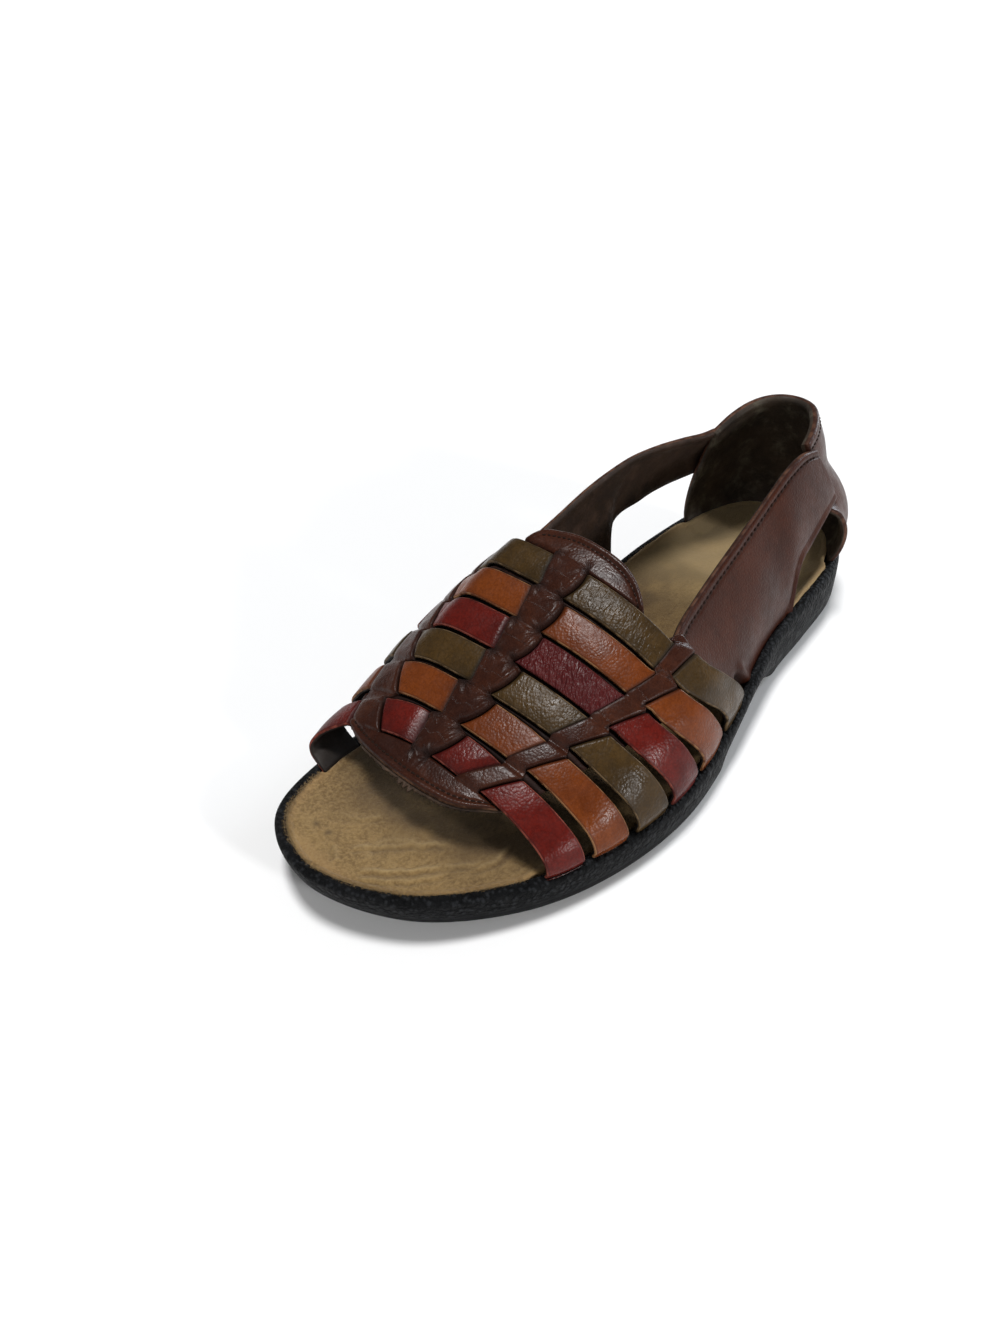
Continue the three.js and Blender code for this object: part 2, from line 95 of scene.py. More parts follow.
# The six straps, a column for each from the throat forward: where its middle is (y) at the
# slits that it passes and at its ends, and its widths.
STRAP_TABLE = dict(
    colour=("olive", "tan", "red", "olive", "tan", "red"),
    crackle=(0.2, 0.06, 1.0, 0.12, 0.05, 0.08),
    medial=(-15.5, -29.5, -42, -54, -66.1, -79.2),
    spine=(-16.9, -29.1, -40.7, -52.4, -64.5, -76.8),
    lateral=(-15.2, -26.9, -39.1, -51, -64, -76.9),
    end=(-11.4, -24.1, -37.2, -50.2, -63.5, -76.8),
    base=(8.5, -11, -29, -45, -61.5, -77),
    medial_base=(3, -15.5, -33.5, -51.5, -69.5, -90.5),
    width=(10.7, 10.5, 10.6, 10.6, 10.9, 10.9),
    end_width=(12.6, 11.8, 10.8, 10.2, 10, 10),
    base_width=(14, 14, 13, 13, 12.5, 12),
)
STRAPS = [dict(zip(STRAP_TABLE, column)) for column in zip(*STRAP_TABLE.values())]

# The slits in the vamp plate, as shares of the way from the last's ridge (0) to its base
# (-1 medial, 1 lateral). Each strap has the slit's front and back end.
SLITS = dict(
    medial_end=((-.74, -.74), (-.73, -.74), (-.68, -.71), (-.62, -.66), (-.56, -.61), (-.47, -.52)),
    medial_out=((-.60, -.68), (-.52, -.67), (-.40, -.57), (-.30, -.49), (-.24, -.40), (-.19, -.32)),
    spine_medial=((.073, .047), (.073, .057), (.070, .057), (.060, .050), (.030, .023), (.003, -.003)),
    spine_lateral=((.150, .167), (.153, .170), (.140, .173), (.133, .177), (.100, .167), (.083, .147)),
    lateral_out=((.507, .517), (.483, .523), (.437, .483), (.380, .440), (.317, .387), (.220, .317)),
    lateral_end=((.567, .600), (.550, .617), (.507, .573), (.453, .527), (.397, .473), (.330, .413)),
)
FLUSH_SLITS = ("spine_medial", "lateral_out")  # there the strap lies level with the plate
SCALLOP = 0.012  # how far the spine's lateral edge swells out between its pinches

# The plate's side edges and its toe edge, across by the same shares.
PLATE_SIDES = dict(
    y=(-92, -86, -80, -73, -60, -40, -22, -12, 0),
    medial=(-.47, -.50, -.565, -.645, -.70, -.75, -.775, -.775, -.76),
    lateral=(.42, .435, .465, .495, .54, .61, .665, .66, .66),
)
TOE_EDGE = dict(
    t=(-.60, -.50, -.36, -.12, .08, .24, .33, .39, .45),
    y=(-81, -85.5, -89.2, -91.7, -92.3, -91, -88.6, -85, -80),
)

# The side bands and the counter: a column for each section, rows as in the part.
LATERAL_BAND = dict(
    low_x=(None,) * 6 + (32.5, 30.5, 28.8, 26),
    low_y=(10, 22, 34, 46, 58, 66, 73, 83.5, 96, 108.5),
    low_z=(None,) * 6 + (36.5, 41, 46, 48.5),
    top_x=(34, 29, 26, 24, 22.5, 21.5, 20.5, 19.5, 18.8, 18.8),
    top_y=(-14, -1, 13, 28, 42, 54, 66, 77, 88, 98),
    top_z=(50.5, 52.5, 54.5, 58, 61.5, 65, 69, 72, 73, 71),
    bulge=(3, 3, 3.5, 3.5, 3.5, 3, 2, 1.5, 1, 1),
)
MEDIAL_BAND = dict(
    low_x=(None,) * 5 + (-39.5, -37.5, -36, -33.5, -30),
    low_y=(-2, 12, 24, 36, 44, 51, 68, 81, 94, 103),
    low_z=(None,) * 5 + (38.5, 43.5, 44.5, 44.5, 45.5),
    top_x=(-34, -36, -36, -35.5, -34, -32.5, -30, -26, -22.5, -20),
    top_y=(-10, 3, 17, 31, 44, 56, 68, 80, 88, 94),
    top_z=(55.5, 58, 61, 64.5, 67.5, 69, 69, 68.5, 68.2, 69),
    bulge=(3, 3, 3, 3, 3, 1.5, 1.5, 1.5, 1.5, 1.5),
)
COUNTER = dict(
    turn=(-2.4, -2, -1.4, -0.7, 0, 0.6, 1.2, 1.7, 2),
    top_x=(-20.5, -18, -15, -9.5, -2, 5, 10.5, 14.5, 17),
    top_y=(92, 101, 112, 118, 120, 117.5, 110.5, 102, 93),
    top_z=(68.5, 73, 75.5, 77, 77.5, 77.5, 77, 76, 74.5),
    bulge=(3, 3.5, 4.5, 5.5, 6.5, 8, 8, 6, 3),
)
BULGE_FROM = 0.12  # share of a band's height where its bulge starts

offset = np.array([c * 1000 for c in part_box("outsole")[0]]) - np.array(SOLE_CORNER)


def put(points):
    """Points in the sandal's millimetres, in the frame's metres."""
    return (np.asarray(points, float) + offset) / 1000


# ---------------------------------------------------------------- small maths
def mix(a, b, share):
    return a + (b - a) * share


def ease(value, low=0.0, high=1.0):
    """0 below low, 1 above high, smooth between."""
    share = np.clip((np.asarray(value, float) - low) / (high - low), 0, 1)
    return share * share * (3 - 2 * share)


def smooth(keys, values, at):
    """The same smooth curve through a table as the part's own smoothColumn."""
    keys, values = np.asarray(keys, float), np.asarray(values, float)
    index = np.arange(len(keys))
    before, after = np.maximum(index - 1, 0), np.minimum(index + 1, len(keys) - 1)
    slopes = (values[after] - values[before]) / (keys[after] - keys[before])
    at = np.clip(at, keys[0], keys[-1])
    i = np.clip(np.searchsorted(keys, at, side="right") - 1, 0, len(keys) - 2)
    span = keys[i + 1] - keys[i]
    s = (at - keys[i]) / span
    kept = (1 + 2 * s) * (1 - s) ** 2 * values[i] + s * s * (3 - 2 * s) * values[i + 1]
    return kept + s * (1 - s) ** 2 * span * slopes[i] + s * s * (s - 1) * span * slopes[i + 1]


def unit(vectors):
    return vectors / (np.linalg.norm(vectors, axis=-1, keepdims=True) + 1e-12)


def bell(value, centre, spread):
    """1 at the centre, and softly down to 0 on both sides."""
    return np.exp(-((value - centre) / spread) ** 2)


def edge_rounded(edge, radius, power=2.4):
    """0 at an edge, and 1 from radius inwards, as a rounded corner rises."""
    return (1 - (1 - np.clip(edge / radius, 0, 1)) ** power) ** (1 / power)


def point_at(place, run, points):
    """The point on a line of points, where run is their length along it."""
    return np.array([np.interp(place, run, points[:, axis]) for axis in range(3)])


def hills(x, y, seed):
    """A soft, repeatable unevenness from -1 to 1, a sum of a few slanted waves."""
    waves = np.random.default_rng(seed)
    total = 0
    for k in range(5):
        angle, phase = waves.uniform(0, math.tau, 2)
        pace = 0.7 + 0.45 * k
        total = total + np.sin(pace * (x * math.cos(angle) + y * math.sin(angle)) + phase) / (1 + 0.5 * k)
    return total / 2.4


# ---------------------------------------------------------------- the sole's outline and heights
def outline(turn, inset):
    """Points on the outline, moved in. One turn is once round, from the heel's back."""
    count = len(OUTLINE)
    place = (np.asarray(turn, float) % 1) * count
    i = np.floor(place).astype(int)
    w = (place - i)[..., None]
    p0, p1, p2, p3 = (OUTLINE[(i + k) % count] for k in (-1, 0, 1, 2))
    m1, m2 = (p2 - p0) / 2, (p3 - p1) / 2
    point = (2 * w**3 - 3 * w**2 + 1) * p1 + (w**3 - 2 * w**2 + w) * m1
    point = point + (3 * w**2 - 2 * w**3) * p2 + (w**3 - w**2) * m2
    tangent = (6 * w**2 - 6 * w) * (p1 - p2) + (3 * w**2 - 4 * w + 1) * m1 + (3 * w**2 - 2 * w) * m2
    tangent = unit(tangent)
    inset = np.asarray(inset, float)
    return np.stack([point[..., 0] + tangent[..., 1] * inset, point[..., 1] - tangent[..., 0] * inset], -1)


lateral_line = outline(np.linspace(0, .52, 801), LEATHER_LINE)
medial_line = outline(1 - np.linspace(0, .48, 801), LEATHER_LINE)


def leather_x(y, side):
    """x of the line where the leather stands, on the lateral (1) or medial (-1) side."""
    line = lateral_line if side > 0 else medial_line
    return np.interp(-np.asarray(y, float), -line[:, 1], line[:, 0])


def toe_spring(y):
    return np.clip((TOE_SPRING_FROM - y) / (TOE_SPRING_FROM - TOE_END), 0, 1) ** 2


def seat_z(y):
    back = 1 / (1 + np.exp((SEAT_DROP_AT - y) / SEAT_DROP_SPREAD))
    return mix(BALL_SEAT, HEEL_SEAT, back) + TOE_SPRING_SEAT * toe_spring(y)


def waist(y):
    """0 outside the sole's waist, 1 in its middle."""
    return np.sin(np.pi * np.clip((y - ARCH_FRONT) / (ARCH_REAR - ARCH_FRONT), 0, 1))


def tread_z(y):
    return TOE_SPRING_TREAD * toe_spring(y) + ARCH_HEIGHT * waist(y)


def last_point(y, across):
    """The last: y along the foot, across from -1 (medial base) to 1 (lateral base)."""
    y, across = np.broadcast_arrays(np.asarray(y, float), np.asarray(across, float))
    medial = across < 0
    column = {name: smooth(SECTIONS["y"], SECTIONS[name], y) for name in SECTIONS if name != "y"}
    full = np.where(medial, column["medial_full"], column["lateral_full"])
    bulge = np.where(medial, column["medial_bulge"], column["lateral_bulge"])
    base_x = np.where(medial, leather_x(y, -1), leather_x(y, 1))
    base_z = seat_z(y) + RIM_RISE
    share = np.minimum(1, np.abs(across)) * np.pi / 2
    out, up = np.sin(share) ** (2 / full), np.maximum(np.cos(share), 0) ** (2 / full)
    x = mix(column["ridge_x"], base_x, out)
    x = x + np.where(medial, -1, 1) * bulge * out * np.sin(np.pi * np.clip(up / 0.9, 0, 1))
    z = mix(base_z, column["ridge_z"], up) - np.maximum(0, np.abs(across) - 1)
    return np.stack([x, y, z], -1)


def last_frame(y, across):
    """Points of the last, its outward normals, and its length in mm per unit of across."""
    step = 0.004
    side = np.where(np.asarray(across) < 0, -1, 1)
    inner = np.where(np.abs(across) > 1, 1.0, np.clip(np.abs(across), 0.02, 0.985)) * side
    point = last_point(y, across)
    run = last_point(y, inner + step) - last_point(y, inner - step)
    along = last_point(np.asarray(y) + 0.5, inner) - last_point(np.asarray(y) - 0.5, inner)
    normal = unit(np.cross(run, along))
    below = (np.abs(across) > 1)[..., None]
    normal = np.where(below, unit(normal * np.array([1, 1, 0])), normal)
    return point, normal, np.linalg.norm(run, axis=-1) / (2 * step)


# ---------------------------------------------------------------- meshes
def make_piece(name, vertices, faces, materials, face_materials=None, attributes=None,
               uv=None, node="upper"):
    """A smooth-shaded mesh that rides on the sandal, and hides the CAD node that it takes the place of."""
    mesh = bpy.data.meshes.new(name)
    mesh.from_pydata(put(vertices).tolist(), [], faces)
    for material in materials:
        mesh.materials.append(material)
    mesh.polygons.foreach_set("use_smooth", [True] * len(mesh.polygons))
    if face_materials is not None:
        mesh.polygons.foreach_set("material_index", face_materials)
    for key, values in (attributes or {}).items():
        mesh.attributes.new(key, "FLOAT", "POINT").data.foreach_set("value", np.ravel(values))
    if uv is not None:
        layer = mesh.uv_layers.new(name="flat")
        loops = np.empty(len(mesh.loops), int)
        mesh.loops.foreach_get("vertex_index", loops)
        layer.data.foreach_set("uv", np.asarray(uv)[loops].ravel())
    mesh.update()
    piece = bpy.data.objects.new(name, mesh)
    bpy.context.collection.objects.link(piece)
    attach(piece, "root")
    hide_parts(node)


def edge_shares(count, length, radius):
    """Shares from 0 to 1 for a sheet's rows: even, and closer together at both edges."""
    close = np.array([0, .05, .18, .4, .7, 1.1]) * radius / length
    inner = np.linspace(close[-1], 1 - close[-1], count + 1)[1:-1]
    return np.concatenate([close, inner, (1 - close)[::-1]])


def arc_lengths(grid, axis):
    """Length run along the grid's rows or columns, from its first line."""
    steps = np.linalg.norm(np.diff(grid, axis=axis), axis=-1)
    start = np.zeros_like(np.take(steps, [0], axis=axis))
    return np.concatenate([start, np.cumsum(steps, axis=axis)], axis=axis)


def sheet(name, middle, half, materials, normal=None, swell=0.0, swell_in=0.0,
          squareness=2.4, extra=None):
    """A closed sheet round a grid of middle points, with its edges rounded over.

    half is half the thickness, swell and swell_in raise the outer and the inner face.
    Returns the grid of the outer face, for what is laid on it."""
    rows, columns = middle.shape[:2]
    if normal is None:
        normal = unit(np.cross(np.gradient(middle, axis=0), np.gradient(middle, axis=1)))
    along, across = arc_lengths(middle, 0), arc_lengths(middle, 1)
    edge = np.minimum.reduce([along, along[-1:] - along, across, across[:, -1:] - across])
    half = np.broadcast_to(half, edge.shape)
    rounding = edge_rounded(edge, half, squareness)
    outer = middle + normal * ((half + swell) * rounding)[..., None]
    inner = middle - normal * ((half + swell_in) * rounding)[..., None]
    border = np.zeros((rows, columns), bool)
    border[[0, -1], :] = True
    border[:, [0, -1]] = True
    outer_index = np.arange(rows * columns).reshape(rows, columns)
    inner_index = outer_index.copy()
    inner_index[~border] = rows * columns + np.arange((~border).sum())
    vertices = np.concatenate([outer.reshape(-1, 3), inner[~border]])

    def quads(index, turn):
        a, b, c, d = index[:-1, :-1], index[1:, :-1], index[1:, 1:], index[:-1, 1:]
        corners = (a, b, c, d) if turn else (a, d, c, b)
        return np.stack(corners, -1).reshape(-1, 4)

    faces = np.concatenate([quads(outer_index, True), quads(inner_index, False)])
    face_materials = np.repeat([0, 1 if len(materials) > 1 else 0], len(faces) // 2)

    def both(values):
        values = np.broadcast_to(values, edge.shape)
        return np.concatenate([values.ravel(), values[~border]])

    attributes = dict(edge=both(1 - ease(edge, 0, 1.1)))
    for key, values in (extra or {}).items():
        attributes[key] = both(values)
    uv = np.stack([both(along), both(across)], -1) / 1000
    make_piece(name, vertices, faces.tolist(), materials, face_materials, attributes, uv)
    return dict(outer=outer, normal=normal, along=along, across=across)


def line_on(made, distance, side):
    """A line on a sheet's outer face, at a distance from its first_row, last_row or last_column."""
    along_rows = side == "last_column"
    run = made["across"] if along_rows else made["along"].T
    outer = made["outer"] if along_rows else made["outer"].transpose(1, 0, 2)
    normal = made["normal"] if along_rows else made["normal"].transpose(1, 0, 2)
    places = [distance if side == "first_row" else line[-1] - distance for line in run]
    points, normals = ([point_at(*each) for each in zip(places, run, grid)] for grid in (outer, normal))
    return np.array(points), unit(np.array(normals))


def stitches(name, line, pitch, trim=(4, 4), length=1.55, width=0.42, height=0.3, slant=0.0):
    """A row of sewn stitches, each a small capsule half sunk in the leather."""
    points, normals = line
    run = arc_lengths(points, 0)
    places = np.arange(trim[0], run[-1] - trim[1], pitch)
    rings = [(-1, 0), (-.8, .6), (-.35, 1), (.35, 1), (.8, .6), (1, 0)]
    sides = 6
    vertices, faces = [], []
    for place in places:
        centre = point_at(place, run, points)
        up = unit(point_at(place, run, normals))
        along = unit(point_at(place + .4, run, points) - centre)
        across = unit(np.cross(up, along))
        along = unit(along + across * (slant + random.uniform(-.08, .08)))
        across = np.cross(up, along)
        start = len(vertices)
        for reach, full in rings:
            for k in range(sides):
                angle = math.tau * k / sides
                sideways, rise = math.cos(angle) * width * full, math.sin(angle) * height * full
                bow = 0.12 * (1 - reach * reach)
                vertices.append(centre + along * reach * length / 2 + across * sideways
                                + up * (rise + bow - 0.02))
        for ring in range(len(rings) - 1):
            for k in range(sides):
                a, b = start + ring * sides + k, start + ring * sides + (k + 1) % sides
                faces.append((a, b, b + sides, a + sides))
    make_piece(name, np.array(vertices), faces, [thread])


# ---------------------------------------------------------------- materials
class Graph:
    """A new material, with short ways to add the nodes that the materials share."""

    def __init__(self, name):
        self.material = bpy.data.materials.new(name)
        self.material.use_nodes = True
        self.tree = self.material.node_tree
        self.tree.nodes.clear()
        self.shader = self.add("ShaderNodeBsdfPrincipled")
        self.add("ShaderNodeOutputMaterial", Surface=self.shader.outputs["BSDF"])
        self.place = self.add("ShaderNodeTexCoord").outputs["Object"]

    def give(self, colour, roughness, gloss, normal=None):
        """Feed the shader, and give the finished material."""
        inputs = self.shader.inputs
        self.feed(inputs["Base Color"], colour)
        self.feed(inputs["Roughness"], roughness)
        self.feed(inputs["Specular IOR Level"], gloss)
        if normal is not None:
            self.feed(inputs["Normal"], normal)
        return self.material

    def add(self, kind, **inputs):
        node = self.tree.nodes.new(kind)
        for key, value in inputs.items():
            self.feed(node.inputs[key], value)
        return node

    def feed(self, socket, value):
        """A socket takes another node's output, a number or a colour of three numbers."""
        if isinstance(value, bpy.types.NodeSocket):
            self.tree.links.new(value, socket)
        else:
            socket.default_value = (*value, 1.0) if isinstance(value, tuple) else value

    def noise(self, size, detail=3.0, roughness=0.55, vector=None, distortion=0.0):
        """Noise whose blobs are about size millimetres, from 0 to 1."""
        node = self.add("ShaderNodeTexNoise", Vector=vector or self.place, Scale=1000 / size,
                        Detail=detail, Roughness=roughness, Distortion=distortion)
        return node.outputs["Fac"]

    def cells(self, size):
        """Distance to the nearest of points scattered about size millimetres apart."""
        return self.add("ShaderNodeTexVoronoi", Vector=self.place, Scale=1000 / size).outputs["Distance"]

    def stretched(self, x, y, z, source=None):
        """Coordinates scaled along each axis, to draw a pattern out."""
        node = self.add("ShaderNodeMapping", Vector=source or self.place)
        node.inputs["Scale"].default_value = (x, y, z)
        return node.outputs["Vector"]

    def flat(self):
        """Lengths along and across a sheet, in metres."""
        node = self.add("ShaderNodeUVMap")
        node.uv_map = "flat"
        return node.outputs["UV"]

    def attribute(self, name):
        node = self.add("ShaderNodeAttribute")
        node.attribute_name = name
        return node.outputs["Fac"]

    def maths(self, operation, a, b=0.0):
        node = self.add("ShaderNodeMath")
        node.operation = operation
        self.feed(node.inputs[0], a)
        self.feed(node.inputs[1], b)
        return node.outputs[0]

    def fit(self, value, low, high, to_low=0.0, to_high=1.0):
        """Smoothly from to_low, where value is low, to to_high, where it is high."""
        node = self.add("ShaderNodeMapRange")
        node.interpolation_type = "SMOOTHSTEP"
        for index, item in enumerate((value, low, high, to_low, to_high)):
            self.feed(node.inputs[index], item)
        return node.outputs[0]

    def blend(self, share, a, b):
        """Colour a, or colour b where share is 1."""
        node = self.add("ShaderNodeMix")
        node.data_type = "RGBA"
        for index, item in ((0, share), (6, a), (7, b)):  # its share and its two colours
            self.feed(node.inputs[index], item)
        return node.outputs[2]

    def bump(self, height, strength, distance, under=None):
        """A relief of a height in mm, on top of another relief."""
        node = self.add("ShaderNodeBump", Height=height, Strength=strength, Distance=distance / 1000)
        if under is not None:
            self.feed(node.inputs["Normal"], under)
        return node.outputs["Normal"]


def shade(rgb, times, plus=0.0):
    """A colour made darker or lighter."""
    return tuple(c * times + plus for c in rgb)


def leather_tone(g, base, dark, raw, pale, crackled, pores, edge, grime_and_painted_shade):
    """Uneven dye, darker in its pores and at its edges, worn at the edges, and darker where the
    grime_and_painted_shade attribute says: partly dirt, partly painted shade in recesses, grooves and
    slits.
    """
    tone = g.blend(g.fit(g.noise(16, 4, 0.6), 0.32, 0.66), dark, base)
    tone = g.blend(g.fit(g.noise(5, 5, 0.65), 0.5, 0.8, 0, 0.5), tone, pale)
    tone = g.blend(g.fit(pores, 0.4, 0.8, 0, 0.45), tone, dark)
    tone = g.blend(g.fit(g.noise(0.6, 2, 0.6), 0.35, 0.75, 0.0, 0.2), tone, pale)
    worn = g.maths("MULTIPLY", g.fit(edge, 0.55, 0.95), g.fit(g.noise(4, 4), 0.38, 0.62, 0.1, 0.9))
    tone = g.blend(g.fit(edge, 0.02, 0.5, 0, 0.55), tone, shade(dark, .6))
    tone = g.blend(worn, tone, raw)
    scratch = g.noise(7, 6, 0.75, vector=g.stretched(1, 0.12, 0.5), distortion=0.4)
    tone = g.blend(g.fit(scratch, 0.66, 0.74, 0, 0.175), tone, pale)
    # Painted shade, with some dirt: darker in recesses, grooves and slits where shade would fall.
    tone = g.blend(grime_and_painted_shade, tone, shade(dark, .35))
    if crackled:
        tone = g.blend(g.fit(g.attribute("crackle"), 0.5, 1.0, 0, 0.75), tone, crackled)
    return tone


def crackle_wrinkles(g):
    """Short wavy wrinkles across a strap, as strong as its crackle attribute."""
    waved = g.add("ShaderNodeVectorMath")
    waved.operation = "ADD"
    g.feed(waved.inputs[0], g.stretched(2.7, 1, 1, g.flat()))
    sway = g.add("ShaderNodeCombineXYZ", X=g.maths("MULTIPLY", g.noise(4, 3), 0.004))
    g.feed(waved.inputs[1], sway.outputs["Vector"])
    lines = g.noise(3.6, 2, 0.5, vector=waved.outputs["Vector"])
    return g.maths("MULTIPLY", g.fit(lines, 0.32, 0.66), g.attribute("crackle"))


def pinch_folds(g):
    """Fine folds that fan out from the pinches of the plate's spine."""
    place = g.add("ShaderNodeCombineXYZ", X=g.attribute("fan"), Y=g.attribute("fan_reach"))
    folds = g.noise(1000, 3, 0.6, vector=place.outputs["Vector"])
    return g.maths("MULTIPLY", g.fit(folds, 0.3, 0.7), g.attribute("pucker"))


def leather(name, base, dark, raw, roughness, grain, grain_depth, gloss, crease=0.25, pale=None,
            crackled=None, fan=False):
    """Smooth dyed leather, with a fine grain of cells grain mm wide."""
    g = Graph(name)
    pores, edge, grime_and_painted_shade = g.cells(grain), g.attribute("edge"), g.attribute("grime_and_painted_shade")
    pale = pale or shade(base, 1.3, 0.006)
    tone = leather_tone(g, base, dark, raw, pale, crackled, pores, edge, grime_and_painted_shade)
    sheen = g.fit(g.noise(3.5, 4), 0.3, 0.7, roughness - 0.05, roughness + 0.08)
    sheen = g.maths("ADD", sheen, g.maths("MULTIPLY", edge, 0.2))
    sheen = g.maths("ADD", sheen, g.maths("MULTIPLY", grime_and_painted_shade, 0.4))
    normal = g.bump(g.noise(7, 3, 0.5), crease, 0.3)
    normal = g.bump(g.noise(1.2, 3, 0.65), 0.5, 0.06, normal)
    normal = g.bump(pores, 0.6, -grain_depth, normal)
    if crackled:
        normal = g.bump(crackle_wrinkles(g), 1.0, 0.5, normal)
    if fan:
        normal = g.bump(pinch_folds(g), 1.0, 0.4, normal)
    return g.give(tone, sheen, gloss, normal)


def lining_leather(name, base, dark, rubbed=None):
    """Worn, matte lining leather with rubbed grey patches."""
    g = Graph(name)
    tone = g.blend(g.fit(g.noise(14, 5, 0.62), 0.35, 0.66), dark, base)
    rubbed = rubbed or shade(base, 1.9, 0.006)
    tone = g.blend(g.fit(g.noise(9, 6, 0.7), 0.48, 0.74, 0, 0.75), tone, rubbed)
    fine = g.noise(0.7, 3, 0.6)
    tone = g.blend(g.fit(fine, 0.4, 0.8, 0, 0.35), tone, shade(base, 1.6))
    roughness = g.fit(g.noise(6, 4), 0.3, 0.7, 0.55, 0.8)
    normal = g.bump(g.noise(5, 4, 0.6), 0.3, 0.5)
    normal = g.bump(g.noise(1.2, 4, 0.7), 0.5, 0.15, normal)
    return g.give(tone, roughness, 0.25, normal)


def suede():
    """Napped tan suede, darkened by wear and stains, with painted shade and a painted highlight laid on
    where the footbed's attributes say.
    """
    g = Graph("footbed_suede")
    tan, deep, light = (.225, .138, .050), (.115, .064, .022), (.31, .205, .085)
    tone = g.blend(g.fit(g.noise(30, 5, 0.6), 0.38, 0.62), deep, tan)
    tone = g.blend(g.fit(g.noise(11, 5, 0.6), 0.45, 0.75, 0, 0.6), tone, light)
    nap = g.noise(1.1, 5, 0.8)
    brushed = g.noise(4, 6, 0.7, vector=g.stretched(1, .45, 1), distortion=.6)
    tone = g.blend(g.fit(brushed, 0.40, 0.6, 0.7, 0.0), tone, deep)
    tone = g.blend(g.fit(nap, 0.42, 0.58, 0.0, 0.7), tone, light)
    specks = g.fit(g.noise(1.6, 3, 0.7), 0.3, 0.42, 0.55, 0)
    tone = g.blend(specks, tone, deep)
    # Stains, and painted shade under the vamp and in the toe furrows.
    tone = g.blend(g.attribute("stain_and_shade"), tone, (.06, .036, .018))
    # Paler heel from wear, and a painted highlight on the pressed toe ridges.
    tone = g.blend(g.attribute("pale"), tone, (.42, .31, .155))
    tone = g.blend(g.maths("MULTIPLY", g.attribute("edge"), 0.4), tone, (.36, .22, .095))
    g.shader.inputs["Sheen Weight"].default_value = 0.35
    g.shader.inputs["Sheen Roughness"].default_value = 0.5
    g.shader.inputs["Sheen Tint"].default_value = (.9, .75, .55, 1)
    normal = g.bump(g.noise(6, 4, 0.6), 0.35, 0.5)
    normal = g.bump(brushed, 0.5, 0.5, normal)
    normal = g.bump(nap, 1.0, 0.45, normal)
    return g.give(tone, 0.92, 0.2, normal)


def rubber():
    """Black moulded rubber: grained above, with a painted highlight on the grain's tops, smooth along the
    bottom, dusty and scuffed.
    """
    g = Graph("sole_rubber")
    black, grey, dust = (.0026, .0028, .0031), (.0058, .006, .0066), (.04, .038, .035)
    tone = g.blend(g.fit(g.noise(7, 5, 0.65), 0.35, 0.7), black, grey)
    grain = g.maths("ADD", g.maths("MULTIPLY", g.cells(1.7), 0.9), g.noise(1.6, 3, 0.7))
    grained = g.attribute("grained")
    # Painted highlight: the grain's tops lighter than its hollows.
    grain_top_highlight = g.maths("MULTIPLY", grained, g.fit(grain, 0.62, 0.95, 0.9, 0))
    tone = g.blend(grain_top_highlight, tone, (.018, .019, .021))
    tone = g.blend(g.fit(g.noise(10, 7, 0.75), 0.60, 0.76, 0, 0.22), tone, dust)
    roughness = g.fit(g.noise(4, 4), 0.3, 0.7, 0.5, 0.65)
    normal = g.bump(g.noise(5, 4, 0.6), 0.2, 0.3)
    normal = g.bump(g.maths("MULTIPLY", grain, grained), 1.0, -1.1, normal)
    return g.give(tone, roughness, 0.07, normal)


def sewing_thread():
    g = Graph("thread")
    tone = g.blend(g.noise(0.5, 2), (.006, .003, .0024), (.024, .011, .007))
    return g.give(tone, 0.85, 0.12)


brown = leather("brown_leather", (.046, .0130, .0058), (.020, .0058, .0035), (.14, .07, .04),
                roughness=0.28, grain=0.8, grain_depth=0.09, crease=0.35, fan=True, gloss=.15)
band_brown = leather("band_leather", (.045, .0108, .0042), (.026, .0070, .0035), (.10, .045, .026),
                     roughness=0.33, grain=0.75, grain_depth=0.12, crease=0.4, gloss=0.13)
DYES = dict(
    olive=leather("olive_leather", (.054, .029, .0078), (.027, .0155, .0055), (.17, .11, .055),
                  roughness=0.30, grain=0.95, grain_depth=0.13, gloss=.15, crackled=(.045, .033, .018)),
    tan=leather("tan_leather", (.145, .033, .005), (.083, .0175, .0032), (.30, .15, .065),
                roughness=0.30, grain=0.9, grain_depth=0.12, gloss=.17, crackled=(.15, .04, .013)),
    red=leather("red_leather", (.102, .0078, .0048), (.045, .0042, .0032), (.24, .06, .04),
                roughness=0.30, grain=0.9, grain_depth=0.12, gloss=.15, pale=(.13, .014, .009),
                crackled=(.062, .0095, .0105)),
)
torn_leather = lining_leather("torn_edge", (.055, .032, .019), (.020, .012, .008))
# Nearly black: the flesh side's colour darkened as painted shade, for it lies in shadow under the leather.
flesh_in_painted_shade = lining_leather("flesh_side_in_painted_shade", (.012, .0072, .0048), (.006, .004, .003))
lining = lining_leather("lining_leather", (.036, .024, .015), (.015, .010, .007), rubbed=(.12, .108, .075))
band_lining = lining_leather("band_lining", (.030, .0155, .0095), (.013, .007, .0045))
suede_tan = suede()
black_rubber = rubber()
thread = sewing_thread()


# ---------------------------------------------------------------- the woven vamp
PLATE_TOP = 1.2  # heights of the plate's face over the last's surface
BAR_TOP = 0.1  # between two straps
UNDER_STRAP = -0.9
STRIP_TOP = 2.4
SPINE_TOP = 2.7
STRAP_HALF = 0.85
STRAP_OVER = 1.15  # the strap's middle, where it is over the plate and where under
STRAP_UNDER = -0.5
STRAP_DIVE = 1.1  # length over which it comes up out of a slit
TOE_ROW = 5  # the strap nearest the toe


